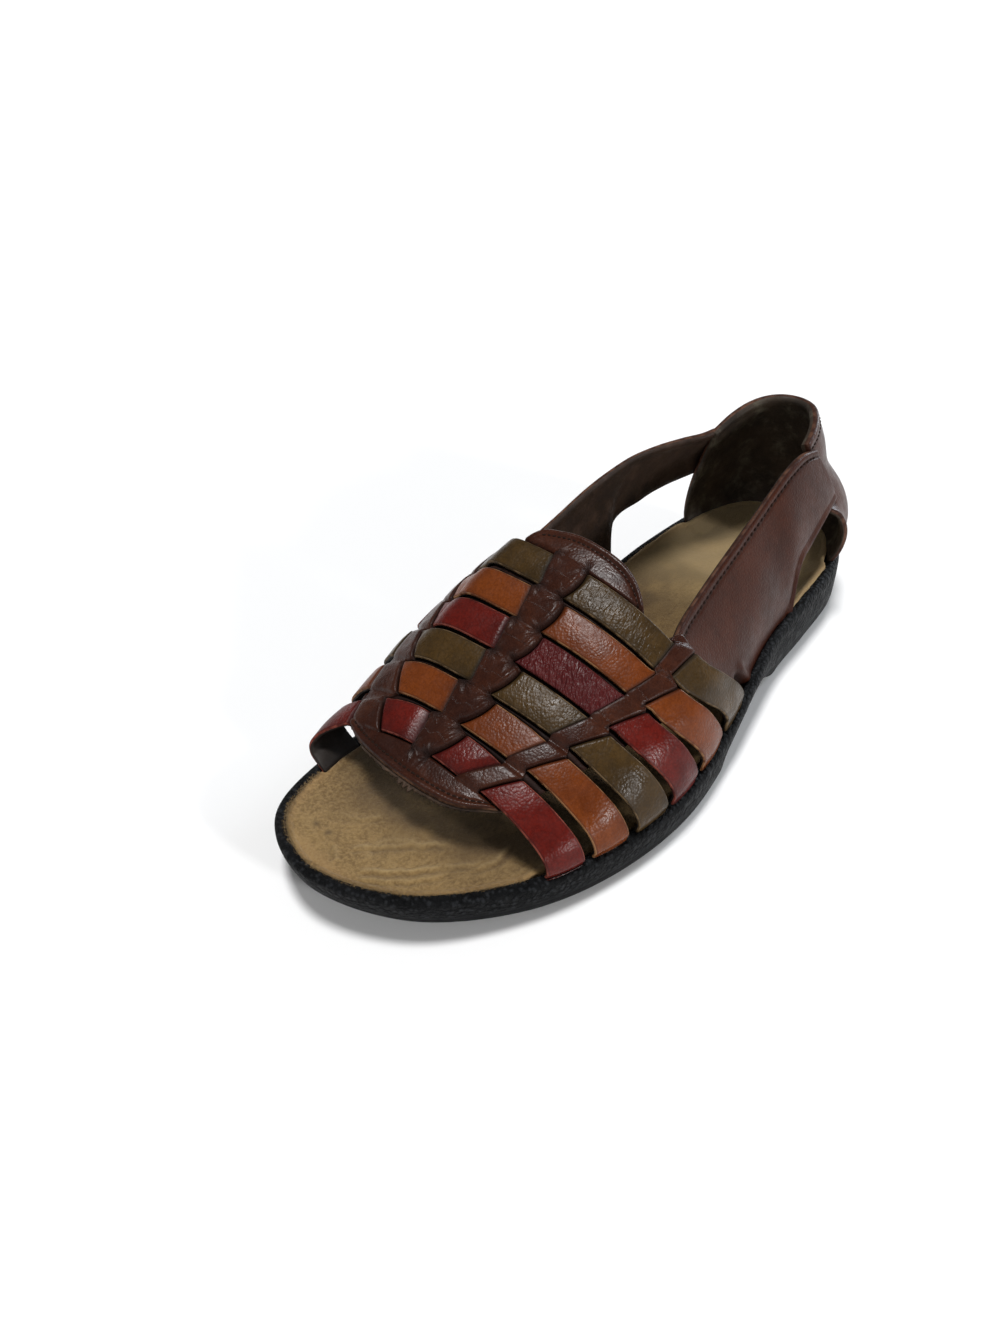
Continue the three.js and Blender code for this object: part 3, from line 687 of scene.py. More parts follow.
def strap_middle_y(strap, row, t):
    """Where the middle of a strap is along the foot, at a place across."""
    slit = {key: (SLITS[key][row][0] + SLITS[key][row][1]) / 2 for key in SLITS}
    knots = (slit["medial_out"], slit["spine_medial"], slit["spine_lateral"], slit["lateral_out"])
    woven = np.interp(t, knots, (strap["medial"], strap["spine"], strap["spine"], strap["lateral"]))
    lateral_reach = np.clip((t - slit["lateral_out"]) / (1 - slit["lateral_out"]), 0, 1)
    medial_reach = np.clip((slit["medial_out"] - t) / (1 + slit["medial_out"]), 0, 1)
    end_reach = (slit["lateral_end"] - slit["lateral_out"]) / (1 - slit["lateral_out"])
    first = np.interp(lateral_reach, (0, end_reach), (strap["lateral"], strap["end"]))
    later = ease((lateral_reach - end_reach) / (1 - end_reach))
    lateral = np.where(lateral_reach > end_reach, mix(strap["end"], strap["base"], later), first)
    medial = mix(strap["medial"], strap["medial_base"], ease(medial_reach))
    return np.where(t > slit["lateral_out"], lateral, np.where(t < slit["medial_out"], medial, woven))


def strap_half_width(strap, row, t):
    """Half a strap's width, at a place across: it widens towards both ends."""
    lateral_out, lateral_end = SLITS["lateral_out"][row][0], SLITS["lateral_end"][row][0]
    knots = (-1, SLITS["medial_end"][row][0], SLITS["medial_out"][row][0], lateral_out, lateral_end, 1)
    medial_width = strap["base_width"] + (4.5 if row == TOE_ROW else 0)
    widths = (medial_width, strap["end_width"], strap["width"], strap["width"],
              strap["end_width"], strap["base_width"])
    return np.interp(t, knots, widths) / 2


def slit_place(key, row, w):
    """A slit's place across, at a place over the strap's width (-1 front, 1 back)."""
    front, back = SLITS[key][row]
    swell = SCALLOP * (1 - np.clip(w, -1, 1) ** 2) if key == "spine_lateral" else 0
    return mix(front, back, (w + 1) / 2) + swell


def strap_lift(row, t, w, pace):
    """Height of a strap's middle over the last: up over the plate, down through slits."""
    def rise(key, side):
        """0 under the plate, 1 over it, from a slit that the strap leaves on one side."""
        distance = side * (t - slit_place(key, row, w)) * pace
        if key in FLUSH_SLITS:
            bevel = 4.4 if row == TOE_ROW else 1.6 if (row, key) == (2, "spine_medial") else 0.2
            return ease(distance, -1.6, bevel)
        return ease(distance, -.8, STRAP_DIVE)

    over = np.maximum(np.minimum(rise("medial_out", 1), rise("spine_medial", -1)),
                      np.minimum(rise("spine_lateral", 1), rise("lateral_out", -1)))
    ends = np.maximum(rise("lateral_end", 1), rise("medial_end", -1))
    past = np.maximum((t - slit_place("lateral_end", row, w)) * pace,
                      (slit_place("medial_end", row, w) - t) * pace)
    lift = mix(STRAP_UNDER, STRAP_OVER + 0.5 * ends, np.maximum(over, ends))
    return mix(lift, 0.35, ease(past, 9, 20))


def weave_strap(strap, row):
    """One coloured strap, from the sole over and under the plate to the sole again."""
    across_end = 1 + TUCK + RIM_RISE
    t = np.concatenate([
        -np.linspace(across_end, 1.02, 5), -np.linspace(1, .96, 5), np.linspace(-.94, -.3, 74)[1:],
        np.linspace(-.3, .62, 200)[1:], np.linspace(.62, .96, 56)[1:], np.linspace(.97, 1, 4),
        np.linspace(1.02, across_end, 5),
    ])[:, None]
    w = (edge_shares(12, strap["width"], STRAP_HALF) * 2 - 1)[None, :]
    inside = np.clip(t, -1, 1)
    y = strap_middle_y(strap, row, inside) + w * strap_half_width(strap, row, inside)
    point, normal, pace = last_frame(y, t)
    if row == TOE_ROW:  # its medial end stands in from the sole's edge
        point = point + np.array([2.2, 0, 0]) * ease(-t, .7, 1.05)[..., None]
    lift = strap_lift(row, t, w, np.minimum(pace, 95))
    end = np.maximum(ease(t, .6, .8), ease(-t, .74, .85)) * (1 - ease(np.abs(t), .93, 1.0))
    wave = 0.22 * hills(y * 0.28, t * 9, 40 + row)
    crown = -0.28 * w * w
    curl = 0.45 * end * w * w * w * w
    bow = np.where(t < 0, 0.4, 0.9) * end * (1 - 0.3 * w * w)
    middle = point + normal * (lift + wave + crown + curl + bow)[..., None]
    gaps = [np.abs(t - slit_place(key, row, w)) * np.minimum(pace, 95) for key in SLITS]
    # Painted shadow: the strap darkened where it dives into a slit.
    slit_shadow = .9 * bell(np.minimum.reduce(gaps), 0, .8)
    skin = strap["colour"]
    patch = ease(t, .08, .13) * (1 - ease(t, slit_place("lateral_out", row, 0) + .02, .62))
    sheet(f"strap_{row + 1}_{skin}", middle, STRAP_HALF, [DYES[skin], flesh_in_painted_shade],
          normal=normal, squareness=3.2,
          extra=dict(crackle=mix(.03, strap["crackle"], patch), grime_and_painted_shade=slit_shadow))


def plate_line(key, y):
    """A slit's line along the whole plate: slanted within each strap, so it zigzags."""
    ys, places = [], []
    for row in reversed(range(len(STRAPS))):
        strap = STRAPS[row]
        middle = np.mean(SLITS[key][row])
        centre = strap_middle_y(strap, row, middle)
        half = strap_half_width(strap, row, middle)
        for w in np.linspace(-1, 1, 7):
            ys.append(float(centre + half * w))
            places.append(float(slit_place(key, row, w)))
    return np.interp(y, ys, places)


ZONE_EDGE = (0, .12, .35, .75, 1.3)  # columns of the plate beside a slit, in mm
ZONE_WIDTHS = (5, 6, 32, 8.5, 26, 7, 5)  # the plate's zones between slits, near enough
ZONE_COLUMNS = (7, 8, 36, 22, 34, 10, 7)


def zone_shares(width, count):
    """Shares from 0 to 1 for a zone's columns, close together beside its slits."""
    near = np.array(ZONE_EDGE) / width
    return np.concatenate([near, np.linspace(near[-1], 1 - near[-1], count)[1:-1], (1 - near)[::-1]])


def vamp_grid():
    """The plate's grid: rows along the foot, columns that follow the slits."""
    names = ("medial_end", "medial_out", "spine_medial", "spine_lateral", "lateral_out", "lateral_end")
    shares = [zone_shares(*zone) for zone in zip(ZONE_WIDTHS, ZONE_COLUMNS)]
    zones = np.concatenate([[k] * len(share) for k, share in enumerate(shares)])
    shares = np.concatenate(shares)
    rows = edge_shares(196, 92, 1.2)

    def lines(y):
        return np.stack(
            [smooth(PLATE_SIDES["y"], PLATE_SIDES["medial"], y)]
            + [plate_line(name, y) for name in names]
            + [smooth(PLATE_SIDES["y"], PLATE_SIDES["lateral"], y)])

    def across(y):
        at = lines(y)
        return mix(at[zones], at[zones + 1], shares.reshape(-1, *[1] * (at.ndim - 1)))

    front_t, back_t = across(np.array(-88.0)), across(np.array(-9.0))
    front = smooth(TOE_EDGE["t"], TOE_EDGE["y"], front_t)
    tab = -0.6 - 720 * np.abs(back_t - .15) ** 3
    beside = np.where(back_t > 0, -12.6 + 8.5 * ease(back_t, .47, .53), -12.6 + 6 * ease(-back_t, .5, .62))
    back = np.maximum(tab, beside)
    y = mix(front[None, :], back[None, :], rows[:, None])
    at = lines(y)
    column = np.arange(len(zones))
    t = mix(at[zones, :, column], at[zones + 1, :, column], shares[:, None]).T
    first_of_zone = np.concatenate([[False], np.diff(zones) > 0])
    t[:, first_of_zone] += 0.0009  # the two sides of a slit stand this far apart
    return y, t, zones


def vamp_height(y, t, zone, pace):
    """Height of the plate's face over the last, its small folds, and painted shade lines along its slits.
    """
    strip = np.isin(zone, (1, 3, 5))[None, :]
    spine = (zone == 3)[None, :]
    foremost = STRAPS[TOE_ROW]
    front = strap_middle_y(foremost, TOE_ROW, t) - strap_half_width(foremost, TOE_ROW, t)
    woven = ease(y, front - 1.0, front + .4) * (1 - ease(y, -12.5, -10))
    slits = list(SLITS)
    lateral_share = ease(t, plate_line("spine_medial", y), plate_line("spine_lateral", y))
    pinch = BAR_TOP + np.where(spine, mix(2.0, .3, lateral_share), 1.0)
    height = mix(PLATE_TOP + 0 * y, BAR_TOP, woven * ~strip)
    height = mix(height, pinch, woven * strip)
    pucker, slit_shade_lines = np.zeros(y.shape), np.zeros(y.shape)
    for row, strap in enumerate(STRAPS):
        centre = strap_middle_y(strap, row, t)
        half = strap_half_width(strap, row, t)
        near = np.abs(y - centre) / half
        w = np.clip((y - centre) / half, -1, 1)
        gaps = np.array([np.abs(t - slit_place(key, row, w)) * pace for key in slits])
        gap, nearest = gaps.min(axis=0), gaps.argmin(axis=0)
        flush = np.isin(nearest, [slits.index(key) for key in FLUSH_SLITS])
        at_spine = nearest == slits.index("spine_lateral")
        lip_width = np.where(at_spine, 2.3, 1.1)
        lip = edge_rounded(gap, lip_width, 2.2)
        start = np.where(flush, 1.0 if row == TOE_ROW else 1.95, .35)
        dome = np.where(spine, np.sqrt(1 - np.clip(near / 1.2, 0, 1) ** 2.4),
                        np.sqrt(1 - np.clip(near / 1.14, 0, 1) ** 5))
        top = np.where(spine, SPINE_TOP + 1.2 * lateral_share, STRIP_TOP) - pinch
        over = pinch + top * dome * lip - (pinch - start) * (1 - lip) * (1 - ease(near, .92, 1.08))
        over = over + .55 * bell(gap, 1.1, .7) * at_spine * dome
        height = np.where(strip & (near < 1.22), np.maximum(over, height * (near > 1)), height)
        under = 1 - ease(near, 1.0, 1.13)
        height = mix(height, UNDER_STRAP, np.where(strip, 0, under))
        corner = np.hypot((near - 1.12) * half, gap)
        # Painted shade: dark lines on the plate beside each slit.
        slit_shade_lines = np.maximum(slit_shade_lines, .8 * bell(gap, 0, .5) * (near < 1.15))
        pucker = np.maximum(pucker, np.exp(-corner / 2.6) * np.where(spine, 1, .35 * strip))
    return height, pucker, slit_shade_lines


TOE_SEAM = 3.0  # the stitches' distance from the plate's toe edge
THROAT_SEAM = 2.9


def fan_of_folds(y, t, pace):
    """Angle and distance from the nearest pinch at the spine's lateral side, for fine folds."""
    best, angle = np.full(y.shape, 99.0), np.zeros(y.shape)
    for row in range(len(STRAPS) + 1):
        rear = STRAPS[min(row, len(STRAPS) - 1)]
        pinch_y = rear["spine"] + (6.1 if row < len(STRAPS) else -6.1)
        for key in ("spine_lateral", "spine_medial"):
            pinch_t = plate_line(key, pinch_y)
            across, along = (t - pinch_t) * pace, y - pinch_y
            reach = np.hypot(across, along)
            closer = reach < best
            best = np.where(closer, reach, best)
            angle = np.where(closer, np.arctan2(along, np.abs(across) + .3) * 3.2 + row * 7.3, angle)
    return angle, best


def build_vamp():
    y, t, zone = vamp_grid()
    point, normal, pace = last_frame(y, t)
    pace = np.clip(pace, 20, 95)
    height, pucker, slit_shade_lines = vamp_height(y, t, zone, pace)
    angle, reach = fan_of_folds(y, t, pace)
    gathered = .36 * np.sin(angle * 2.1 + np.sin(angle * .9)) * bell(reach, 2.0, 1.6)
    height = height + gathered * (zone == 3)[None, :] * ease(reach, .2, 1.2)
    along, across = arc_lengths(point, 0), arc_lengths(point, 1)
    from_toe, from_throat = along, along[-1:] - along
    tab = ease(t, -.12, -.04) * (1 - ease(t, .385, .405))
    rolled = bell(from_throat, 1.2, 1.2) - .75 * bell(from_throat, THROAT_SEAM, .5)
    height = height + 0.5 * tab * rolled
    pleat = np.abs(np.sin(across * 1.15)) ** 4 * ease(t, .25, .31) * tab
    height = height - 0.55 * pleat * bell(from_throat, 2.4, 2.0)
    height = height + 0.45 * (bell(from_toe, 1.2, 1.1) - .8 * bell(from_toe, TOE_SEAM, .5))
    margin = np.isin(zone, (0, 6))[None, :]
    side_edge = np.minimum(across, across[:, -1:] - across)
    height = height + np.where(margin, 0.2 * bell(side_edge, .9, .8), 0)
    height = height + 0.22 * hills(y * .16, t * 7, 11) * ease(from_toe, 0, 3)
    height = height + 0.10 * hills(y * .55, t * 26, 12)
    edge = np.minimum.reduce([from_toe, from_throat, side_edge])
    # Painted shade, partly dirt: darker where the plate lies low between straps, beside the slits and in
    # the spine's pinches.
    pinch_shade = .8 * bell(reach, 0, 2.2) * (zone == 3)[None, :]
    grime_and_painted_shade = np.maximum.reduce([1 - ease(height, -.1, .7), slit_shade_lines, pinch_shade])
    underside = 1.2 + 1.2 * ease(edge, 1, 7)
    made = sheet("vamp", point, 0.02, [brown, flesh_in_painted_shade], normal=normal,
                 swell=edge_rounded(edge, 1.2) * height, swell_in=edge_rounded(edge, 1.2) * underside,
                 extra=dict(fan=angle, fan_reach=reach * .25, pucker=pucker, grime_and_painted_shade=grime_and_painted_shade))
    stitches("toe_stitches", line_on(made, TOE_SEAM, "first_row"), 2.0, (9, 6), length=1.5, height=.25)
    throat_line = line_on(made, THROAT_SEAM, "last_row")
    stitches("throat_stitches", throat_line, 1.9, (46, 30), length=1.35, height=.22)
    build_toe_layer(point, normal, across[0])


def build_toe_layer(point, normal, run):
    """The lining that shows, torn and frayed, below the plate's toe edge.

    run is the length along that edge, from its medial end."""
    first, ahead, up = point[0], unit(point[0] - point[12]), normal[0]
    ragged = .35 * hills(run * .9, run * .4, 51) + .25 * hills(run * 3, 0 * run, 52)
    torn = ease(run, 30, 34) * (1 - ease(run, 38, 41))
    tips = .55 * ease(run, 8, 20) + 1.5 * torn * (.5 + .5 * np.sin(run * 2.7))
    rows = []
    for back in (-1.3, -1.0, -.5, .4, 2, 4, 7):
        forward = -back + (ragged + tips - .9) * (1 - ease(back, -1.3, 2))
        rows.append(first + ahead * forward[:, None] - up * (.75 + .35 * ease(back, -1, 3)))
    sheet("toe_lining", np.array(rows), 0.5, [torn_leather, flesh_in_painted_shade],
          normal=np.stack([up] * len(rows)))
    count = 420
    frayed = ease(run, 20, 60) + .15
    picks = random.choice(len(first), count, p=frayed / frayed.sum())
    root = first[picks] - up[picks] * random.uniform(.6, 1.2, (count, 1))
    root = root + random.normal(0, .25, (count, 3))
    lean = unit(ahead[picks] + random.normal(0, .7, (count, 3)))
    length = random.uniform(.7, 2.2, count)
    fibres("toe_fray", root, lean, length, .05, flesh_in_painted_shade, "upper", {})


def fibres(name, root, lean, length, radius, material, node, attributes):
    """Loose fibres: thin three-sided spikes."""
    count = len(root)
    side = unit(np.cross(lean, random.normal(0, 1, (count, 3)))) * radius
    other = np.cross(lean, side)
    tip = root + lean * length[:, None] + random.normal(0, .15, (count, 3))
    corners = np.stack([root - side - other * .6, root + side - other * .6, root + other, tip], 1)
    start = (np.arange(count) * 4)[:, None]
    faces = np.concatenate([start + np.array(f) for f in ((0, 1, 3), (1, 2, 3), (2, 0, 3), (0, 2, 1))])
    values = {key: np.full(count * 4, value) for key, value in attributes.items()}
    make_piece(name, corners.reshape(-1, 3), faces.tolist(), [material],
               attributes=values, node=node)


# ---------------------------------------------------------------- side bands and counter
BAND_SEAM = 3.4  # the stitches' distance from the top edge
COUNTER_SEAM = 3.8
CURL_AT = (21, 26)  # y and z of the lateral band's curled corner
CURL_ALONG = (.82, .57)  # unit direction up and back from it


def bulge_share(v, peak):
    """How much of a band's bulge there is, from its low edge (0) to its top edge (1)."""
    above = np.clip((v - BULGE_FROM) / (1 - BULGE_FROM), 0, 1)
    return np.sin(np.pi * above ** peak)


def band_grid(table, side, rows, columns):
    """A band's middle points: rows along the foot, columns from its low edge to its top."""
    index = np.arange(len(table["low_y"]), dtype=float)
    low_y = np.array(table["low_y"], float)
    held_x, held_z = leather_x(low_y, side), seat_z(low_y) - TUCK
    low_x = [held if x is None else x for x, held in zip(table["low_x"], held_x)]
    low_z = [held if z is None else z for z, held in zip(table["low_z"], held_z)]
    at = rows[:, None] * (len(low_y) - 1)
    v = columns[None, :]

    def read(values):
        return smooth(index, values, at)

    return np.stack([
        mix(read(low_x), read(table["top_x"]), v) + side * read(table["bulge"]) * bulge_share(v, 0.8),
        mix(read(low_y), read(table["top_y"]), v) + 0 * v,
        mix(read(low_z), read(table["top_z"]), v),
    ], -1)


def build_band(name, table, side):
    rows = edge_shares(170, 140, 1.1)
    columns = edge_shares(56, 34, 1.1)
    middle = band_grid(table, side, rows, columns)
    if side < 0:
        middle = middle[::-1]
    across = arc_lengths(middle, 1)
    from_top = across[:, -1:] - across
    rolled = 0.5 * bell(from_top, 1.6, 1.5) - 0.5 * bell(from_top, BAND_SEAM, .6)
    y, z = middle[..., 1], middle[..., 2]
    wave = 0.25 * hills(y * .12, z * .15, 21 + side)
    low_roll = 0.3 * bell(across, 1.3, 1.2)
    back, up = y - CURL_AT[0], z - CURL_AT[1]
    behind = back * CURL_ALONG[0] + up * CURL_ALONG[1]
    down = back * CURL_ALONG[1] - up * CURL_ALONG[0]
    curl = (side > 0) * ease(down, -4, 1) * (1 - ease(down, 14, 18))
    rim, hollow = curl * bell(behind, 0, 2.3), curl * bell(behind, -3.4, 2.0)
    # Painted shade, partly dirt: darker along the stitch groove and in the hollow under the curled corner.
    made = sheet(name, middle, 1.0, [band_brown, band_lining],
                 swell=rolled + wave + low_roll + 1.1 * rim - 1.7 * hollow,
                 swell_in=0.35 * bell(from_top, 1.8, 1.6) + 1.6 * hollow,
                 extra=dict(grime_and_painted_shade=np.clip(.45 * bell(from_top, BAND_SEAM, .8) + 1.1 * hollow, 0, 1)))
    stitches(f"{name}_stitches", line_on(made, BAND_SEAM, "last_column"), 2.5, length=1.75,
             width=.46, height=.42, slant=.12)


def counter_grid(rows, columns):
    """The counter's middle points: rows round the heel, columns from its low edge to its top."""
    turns = mix(COUNTER["turn"][0], COUNTER["turn"][-1], rows[:, None])
    v = columns[None, :]

    def read(name):
        return smooth(COUNTER["turn"], COUNTER[name], turns)

    low = outline(turns / len(OUTLINE), np.full(turns.shape, LEATHER_LINE))
    low = np.concatenate([low, (seat_z(low[..., 1]) - TUCK)[..., None]], -1)
    top = np.stack([read("top_x"), read("top_y"), read("top_z")], -1)
    outward = low - np.array([0, HEEL_CENTRE, 0])
    outward = unit(outward * np.array([1, 1, 0]))
    swell = read("bulge") * bulge_share(v, 0.6)
    return mix(low, top, v[..., None]) + outward * swell[..., None]


def build_counter():
    rows = edge_shares(120, 130, 1.3)
    columns = edge_shares(52, 60, 1.3)
    middle = counter_grid(rows, columns)
    height = middle[..., 2]
    along = arc_lengths(middle, 0)
    flare = np.clip(1 - (along[-1:] - along) / 13, 0, 1) ** 2  # at its front lateral edge
    flare = flare * bell(height, 38, 15) * ease(-height, -49, -43)
    middle = (middle + flare[..., None] * np.array([4.6, 4.4, 0]))[::-1]
    across = arc_lengths(middle, 1)
    from_top = across[:, -1:] - across
    x, y, z = middle[..., 0], middle[..., 1], middle[..., 2]
    rolled = 0.55 * bell(from_top, 1.7, 1.6) - 0.3 * bell(from_top, COUNTER_SEAM, .5)
    wave = 0.4 * hills(x * .12 + y * .08, z * .12, 31)
    crease = (1.0 * bell(z, 36, 9) - 2.7 * bell(z, 57, 8.5)) * ease(x, -8, 8)
    # Painted shade, partly dirt: darker along the stitch groove.
    made = sheet("heel_counter", middle, 1.3, [band_brown, lining],
                 swell=rolled + wave + crease, swell_in=rolled * .8 + 0.5 * wave - crease * .8,
                 extra=dict(grime_and_painted_shade=.4 * bell(from_top, COUNTER_SEAM, .8)))
    stitches("counter_stitches", line_on(made, COUNTER_SEAM, "last_column"), 2.5, length=1.75,
             width=.44, height=.4)


# ---------------------------------------------------------------- sole and footbed
def paired_turns(count):
    """Turns down the lateral side from heel to toe, and the same number down the medial."""
    share = np.linspace(0, 1, count)
    return TOE_TURN * share, 1 - (1 - TOE_TURN) * share


def ring_body(name, rings, lid, floor, columns, materials, node, attributes):
    """A body of rings laced round the foot, closed by a lid above and a floor below.

    A ring is (turns) -> (n, 3) points. lid and floor take x, y and z and give the height."""
    count = 240
    lateral, medial = paired_turns(count)
    around = np.concatenate([lateral, medial[-2:0:-1]])
    rows = [ring(around) for ring in rings]
    size = len(around)
    vertices = np.concatenate(rows)
    faces = []
    for r in range(len(rings) - 1):
        a = r * size + np.arange(size)
        b = r * size + (np.arange(size) + 1) % size
        faces.append(np.stack([a, b, b + size, a + size], -1))
    share = np.linspace(0, 1, columns)[1:-1]
    for level, height, up in ((len(rings) - 1, lid, True), (0, floor, False)):
        ring = rows[level]
        index = level * size + np.arange(size)
        left, right = index[1:count - 1], index[-1:count - 1:-1]
        a, b = ring[1:count - 1], ring[-1:count - 1:-1]
        inner = mix(a[:, None, :], b[:, None, :], share[None, :, None])
        inner[..., 2] = height(inner[..., 0], inner[..., 1], inner[..., 2])
        inner_index = len(vertices) + np.arange(inner.shape[0] * inner.shape[1]).reshape(inner.shape[:2])
        vertices = np.concatenate([vertices, inner.reshape(-1, 3)])
        grid = np.concatenate([left[:, None], inner_index, right[:, None]], 1)
        quads = np.stack([grid[:-1, :-1], grid[:-1, 1:], grid[1:, 1:], grid[1:, :-1]], -1).reshape(-1, 4)
        faces.append(quads if not up else quads[:, ::-1])
        for tip, line, flip in ((index[0], grid[0], up), (index[count - 1], grid[-1], not up)):
            fan = [(tip, line[k], line[k + 1]) for k in range(len(line) - 1)]
            faces.append([face[::-1] if flip else face for face in fan])
    faces = [tuple(int(i) for i in face) for part in faces for face in part]
    values = {key: function(vertices) for key, function in attributes.items()}
    make_piece(name, vertices, faces, materials, attributes=values, node=node)


def from_sides(x, y):
    """Distance from the nearer of the two lines where the leather stands."""
    return np.minimum(x - leather_x(y, -1), leather_x(y, 1) - x)


def heel_cup(y):
    """How far the footbed's edge is raised."""
    return HEEL_CUP * np.clip((y - 20) / 60, 0, 1)


def spot(x, y, centre_x, centre_y, size):
    """A soft round spot, 1 at its centre."""
    return np.exp(-((x - centre_x) ** 2 + (y - centre_y) ** 2) / size**2)


def wall_inset(y, share):
    """How far the sole's side stands in, at a share of its height."""
    below = 1 - share
    return WAIST_TUCK_IN * waist(y) * below**3 + TOE_TUCK_IN * toe_spring(y) * below**1.6


def sole_ring(share, inset, drop=0.0):
    """A ring of the sole's side: share of the height from tread to rim, extra inset."""
    def ring(turns):
        y = outline(turns, 0.0)[:, 1]
        place = outline(turns, wall_inset(y, share) + inset)
        z = mix(tread_z(place[:, 1]), seat_z(place[:, 1]) + RIM_RISE, share) - drop
        return np.concatenate([place, z[:, None]], 1)
    return ring


TREAD_GROOVES = [(-104, -14, 12.5), (62, 118, 11)]


def tread_height(x, y, z):
    """The tread: cross grooves between lugs, each lug finely ribbed."""
    height = tread_z(y)
    side = from_sides(x, y)
    inside = ease(side, 6, 8)
    for start, end, pitch in TREAD_GROOVES:
        for place in np.arange(start, end + 1, pitch):
            height = height + 2.0 * inside * (1 - ease(np.abs(y - place), 1.0, 1.9))
    ribs = 0.35 * ease(np.sin(x * 1.1), .2, .6) * ease(side, 8, 10)
    return height + ribs * (1 - waist(y))


def build_outsole():
    profile = [(0, 4.6), (.012, 3.3), (.04, 2.2), (.10, 1.2), (.19, .5), (.30, .12), (.38, .04),
               (.43, .02), (.55, -.05), (.7, -.05), (.83, .0), (.91, .2), (.96, .55),
               (.99, 1.15), (1.0, 1.9), (1.0, 3.0), (.985, 3.8)]
    rings = [sole_ring(share, inset) for share, inset in profile]
    rings += [sole_ring(1, 4.15, 1.4), sole_ring(1, 4.15, RIM_RISE + FOOTBED_THICKNESS)]

    def grained(v):
        rim = seat_z(v[:, 1]) + RIM_RISE
        share = (v[:, 2] - tread_z(v[:, 1])) / (rim - tread_z(v[:, 1]))
        return ease(share, .40, .46)

    def cavity(x, y, z):
        return seat_z(y) - FOOTBED_THICKNESS

    ring_body("outsole_finish", rings, cavity, tread_height, 90, [black_rubber],
              "outsole", dict(grained=grained))


# Where the toes press the suede and where they leave stains: x, y and size.
TOE_PRESSES = [(-24, -101, 11), (-4, -106, 7), (9, -103, 6.5), (20, -96, 6), (29, -87, 6)]
TOE_STAINS = [(-24, -101, 9), (-2, -103, 7), (18, -95, 7)]


def footbed_top(x, y, z):
    """The foot side: cupped at the heel, pressed by toes and ball, wrinkled at the toe."""
    side = from_sides(x, y)
    heel_end = np.hypot(x / 30, (y - HEEL_CENTRE) / 38)
    edge = np.where(y > HEEL_CENTRE, np.minimum(side, (1 - heel_end) * 34), side)
    height = seat_z(y) + heel_cup(y) * (1 - ease(edge, 0, 11))
    arch = 1.3 * bell(y, 18, 30) * (1 - ease(x - leather_x(y, -1), 2, 20))
    ball = -0.8 * np.exp(-((y + 38) / 22) ** 2 - ((x + 5) / 26) ** 2)
    toes = 0
    for toe_x, toe_y, size in TOE_PRESSES:
        toes = toes - 0.55 * np.exp(-((x - toe_x) ** 2 + ((y - toe_y) * .8) ** 2) / size**2)
    heel = -1.0 * np.exp(-((y - 96) / 24) ** 2 - (x / 17) ** 2)
    height = height + .4 * np.exp(-np.clip(side - 2.8, 0, 20) / 1.8)
    return height + arch + ball + toes + heel + toe_wrinkles(x, y) + 0.12 * hills(x * .25, y * .25, 5)


# Pressed ridges before the toes: both ends (x, y), bow to the front and depth.
TOE_RIDGES = [
    (-1, -118.5, 16, -99.5, 1.4, .40), (16, -99.5, 23, -91, .5, .26), (-10, -115, 11.5, -92.5, -.9, .34),
    (-13.5, -116.5, -8, -121, 0, .24), (-2, -114, -7, -110, .3, .22), (1, -121, 19, -101.5, 2.0, .26),
    (22, -96, 25, -80, 2.4, .24), (-24, -107, -12, -98, 1.6, .20), (-6, -108, 4, -98, -1.2, .18),
]
TOE_SPOTS = [(-25, -115, 1.1), (-19.3, -114.8, 1.3)]  # dark spots: x, y and size


def toe_wrinkles(x, y):
    """Height of the pressed ridges, with the furrow beside each of them."""
    total = 0
    for x0, y0, x1, y1, bow, depth in TOE_RIDGES:
        run = math.hypot(x1 - x0, y1 - y0)
        ahead, aside = (x1 - x0) / run, (y1 - y0) / run
        along = ((x - x0) * ahead + (y - y0) * aside) / run
        across = (x - x0) * aside - (y - y0) * ahead
        across = across - 4 * bow * along * (1 - along) - .25 * np.sin(along * run * .9)
        reach = ease(along, -.02, .12) * (1 - ease(along, .88, 1.02))
        total = total + 1.3 * depth * reach * (bell(across, 0, .8) - .8 * bell(across, 1.6, .9))
    return total


def open_edge(turns):
    """1 where no leather stands along the footbed's edge, 0 elsewhere."""
    y = outline(turns, 4.0)[..., 1]
    lateral = np.maximum(1 - ease(y, -88, -85), ease(y, 66, 69) * (1 - ease(y, 101, 104)))
    medial = np.maximum(1 - ease(y, -100, -97), ease(y, 49, 52) * (1 - ease(y, 91, 94)))
    return np.where(turns < TOE_TURN, lateral, medial)


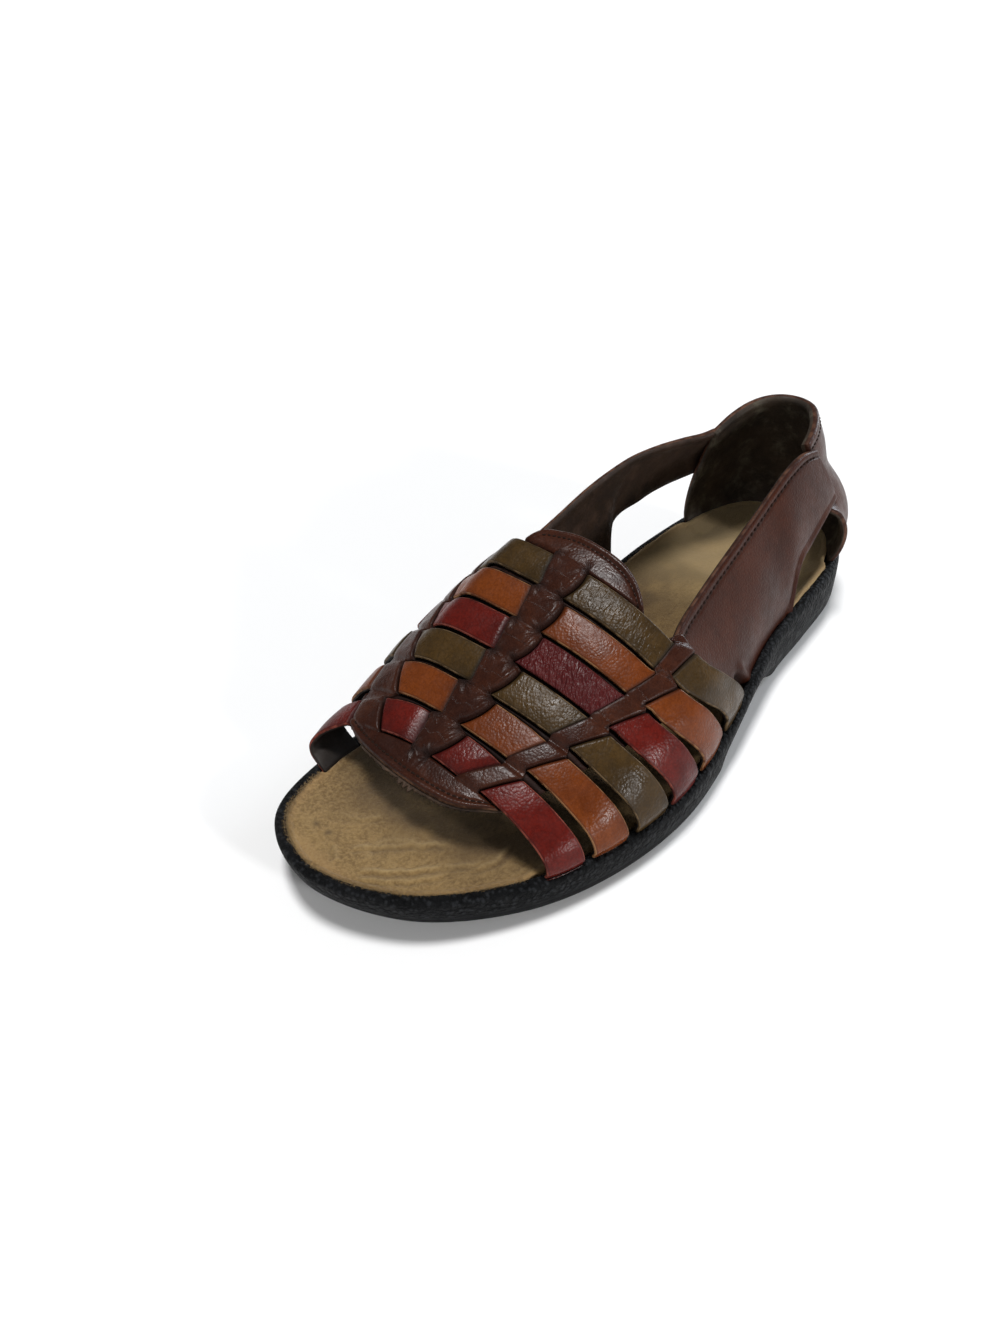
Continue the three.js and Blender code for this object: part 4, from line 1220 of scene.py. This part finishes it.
def build_footbed():
    def ring(inset, drop):
        def place(turns):
            ragged = .22 * hills(turns * 300, turns * 170, 62) + .18 * hills(turns * 900, turns * 500, 63)
            at = outline(turns, inset + ragged + 1.6 * (1 - open_edge(turns)))
            height = seat_z(at[:, 1]) + heel_cup(at[:, 1]) - drop
            return np.concatenate([at, height[:, None]], 1)
        return place

    profile = [(4.6, 5), (3.85, 1.4), (3.7, .3), (3.95, -.35), (4.6, -.55), (5.8, -.4)]
    rings = [ring(inset, drop) for inset, drop in profile]

    def lowest(x, y, z):
        return z

    def edge(v):
        front = (v[:, 1] + 127) * .8
        return 1 - ease(np.minimum(from_sides(v[:, 0], v[:, 1]), front), 1.2, 6)

    # Real stains under the ball and toes and dark spots, with painted shade: the shadow below the vamp's
    # toe edge, the shade under the vamp and in the furrows beside the toe ridges; darker round the heel's
    # rim.
    def stain_and_shade(v):
        x, y = v[:, 0], v[:, 1]
        front = -92.5 + .008 * (x + 6) ** 2
        shadow = bell(np.clip(front - y, 0, 60), 0, 8) * ease(y, -112, -96)
        shadow = shadow * (.45 + .3 * hills(x * .3, y * .3, 8))
        ball = .35 * bell(y, -62, 26) * (1 - ease(np.abs(x - 5), 20, 50))
        toes = 0
        for toe_x, toe_y, size in TOE_STAINS:
            toes = toes + .3 * spot(x, y, toe_x, toe_y, size)
        spots = ease(hills(x * .8, y * .8, 9), .95, 1.25) * .5
        for spot_x, spot_y, size in TOE_SPOTS:
            spots = spots + .8 * spot(x, y, spot_x, spot_y, size)
        # Painted shade under the vamp.
        under = .55 * ease(y, -101, -90) * (1 - ease(x, -20, 0)) * (.6 + .5 * hills(x * .5, y * .5, 14))
        # Painted shade in the furrows beside the pressed toe ridges.
        lines = .8 * np.clip(-toe_wrinkles(x, y), 0, .5)
        rear = .2 * ease(np.hypot(x / 29, (y - 82) / 50), .7, 1.0) * ease(y, 40, 80)
        return np.clip(shadow + ball + toes + spots + np.clip(under, 0, .6) + lines + rear, 0, .85)

    def pale(v):
        # The heel paler from wear; the pressed toe ridges painted lighter, a painted highlight on their
        # tops.
        pressed = np.clip(toe_wrinkles(v[:, 0], v[:, 1]), 0, .7)
        return np.clip(.5 * ease(v[:, 1], 35, 80) + .7 * pressed, 0, .8)

    ring_body("footbed_finish", rings, footbed_top, lowest, 130, [suede_tan],
              "footbed", dict(edge=edge, stain_and_shade=stain_and_shade, pale=pale))


def build_nap():
    """Loose suede fibres along the footbed's edge."""
    count = 22000
    turns = random.uniform(.26, .92, count)
    clumps = .5 + .5 * hills(turns * 260, turns * 90, 61)
    inset = 3.55 + random.uniform(0, 1, count) ** 1.3 * 2.2 - .35 * clumps
    at = outline(turns, inset)
    towards = unit(outline(turns, 0.0) - at)
    towards = np.concatenate([towards, np.zeros((count, 1))], 1)
    level = seat_z(at[:, 1]) + .7 - .2 * (inset - 3.4) + random.uniform(-.3, .1, count)
    level = level - 4 * (1 - open_edge(turns))
    root = np.concatenate([at, level[:, None]], 1)
    lean = unit(towards * random.uniform(.1, 1.2, (count, 1)) + random.normal(0, .5, (count, 3))
                + np.array([0, 0, .6]))
    length = random.uniform(.4, 1.0, count) * (.6 + .9 * clumps)
    fibres("footbed_nap", root, lean, length, .10, suede_tan, "footbed",
           dict(edge=.5, stain_and_shade=0.0, pale=.15))


# ---------------------------------------------------------------- stage
def build_stage():
    mesh = bpy.data.meshes.new("floor")
    reach = 6.0
    mesh.from_pydata([(-reach, -reach, 0), (reach, -reach, 0), (reach, reach, 0), (-reach, reach, 0)],
                     [], [(0, 1, 2, 3)])
    mesh.materials.append(Graph("pale_floor").give((.90, .90, .90), 0.85, 0.2))
    floor = bpy.data.objects.new("floor", mesh)
    bpy.context.collection.objects.link(floor)

    world = bpy.data.worlds.new("studio")
    bpy.context.scene.world = world
    world.use_nodes = True
    tree = world.node_tree
    height = tree.nodes.new("ShaderNodeSeparateXYZ")
    tree.links.new(tree.nodes.new("ShaderNodeTexCoord").outputs["Generated"], height.inputs[0])
    ramp = tree.nodes.new("ShaderNodeMapRange")
    ramp.interpolation_type = "SMOOTHSTEP"
    for index, value in enumerate((.08, .26, .90, .14), 1):
        ramp.inputs[index].default_value = value
    tree.links.new(height.outputs["Z"], ramp.inputs[0])
    tree.links.new(ramp.outputs[0], tree.nodes["Background"].inputs["Strength"])
    tree.nodes["Background"].inputs["Color"].default_value = (1, 1, 1, 1)
    sun("overhead", (-.09, .05, 1.0), 14, 2.5)
    sun("side_window", (.95, .05, .32), 7, 1.45)
    sun("back_window", (.10, .95, .30), 16, 1.2, (.84, .92, 1))
    sun("front_fill", (.10, -.85, .55), 50, 0.3)


def sun(name, direction, spread, strength, tint=(1, 1, 1)):
    """A wide, soft light from a direction, spread in degrees."""
    data = bpy.data.lights.new(name, "SUN")
    data.angle = math.radians(spread)
    data.energy = strength
    data.color = tint
    light = bpy.data.objects.new(name, data)
    light.rotation_euler = Vector(direction).to_track_quat("Z", "Y").to_euler()
    bpy.context.collection.objects.link(light)


def build_camera():
    """The view from the sandal's lateral front, a little above it and slightly rolled."""
    place = np.array([161.909, -214.695, 243.684])
    right = np.array([.73122, .68035, -.04938])
    up = np.array([-.40840, .49461, .76718])
    back = np.array([.54638, -.54081, .63952])
    data = bpy.data.cameras.new("camera")
    data.sensor_width = 36
    data.lens = 26.0
    data.clip_start = 0.01
    camera = bpy.data.objects.new("camera", data)
    turn = Matrix(np.stack([right, up, back], 1).tolist())
    camera.matrix_world = Matrix.Translation(Vector(put(place))) @ turn.to_4x4()
    bpy.context.collection.objects.link(camera)
    bpy.context.scene.camera = camera


bpy.context.scene.view_settings.view_transform = "Standard"
build_camera()
build_stage()
build_outsole()
build_footbed()
build_nap()
build_vamp()
for row, strap in enumerate(STRAPS):
    weave_strap(strap, row)
build_band("lateral_band", LATERAL_BAND, 1)
build_band("medial_band", MEDIAL_BAND, -1)
build_counter()
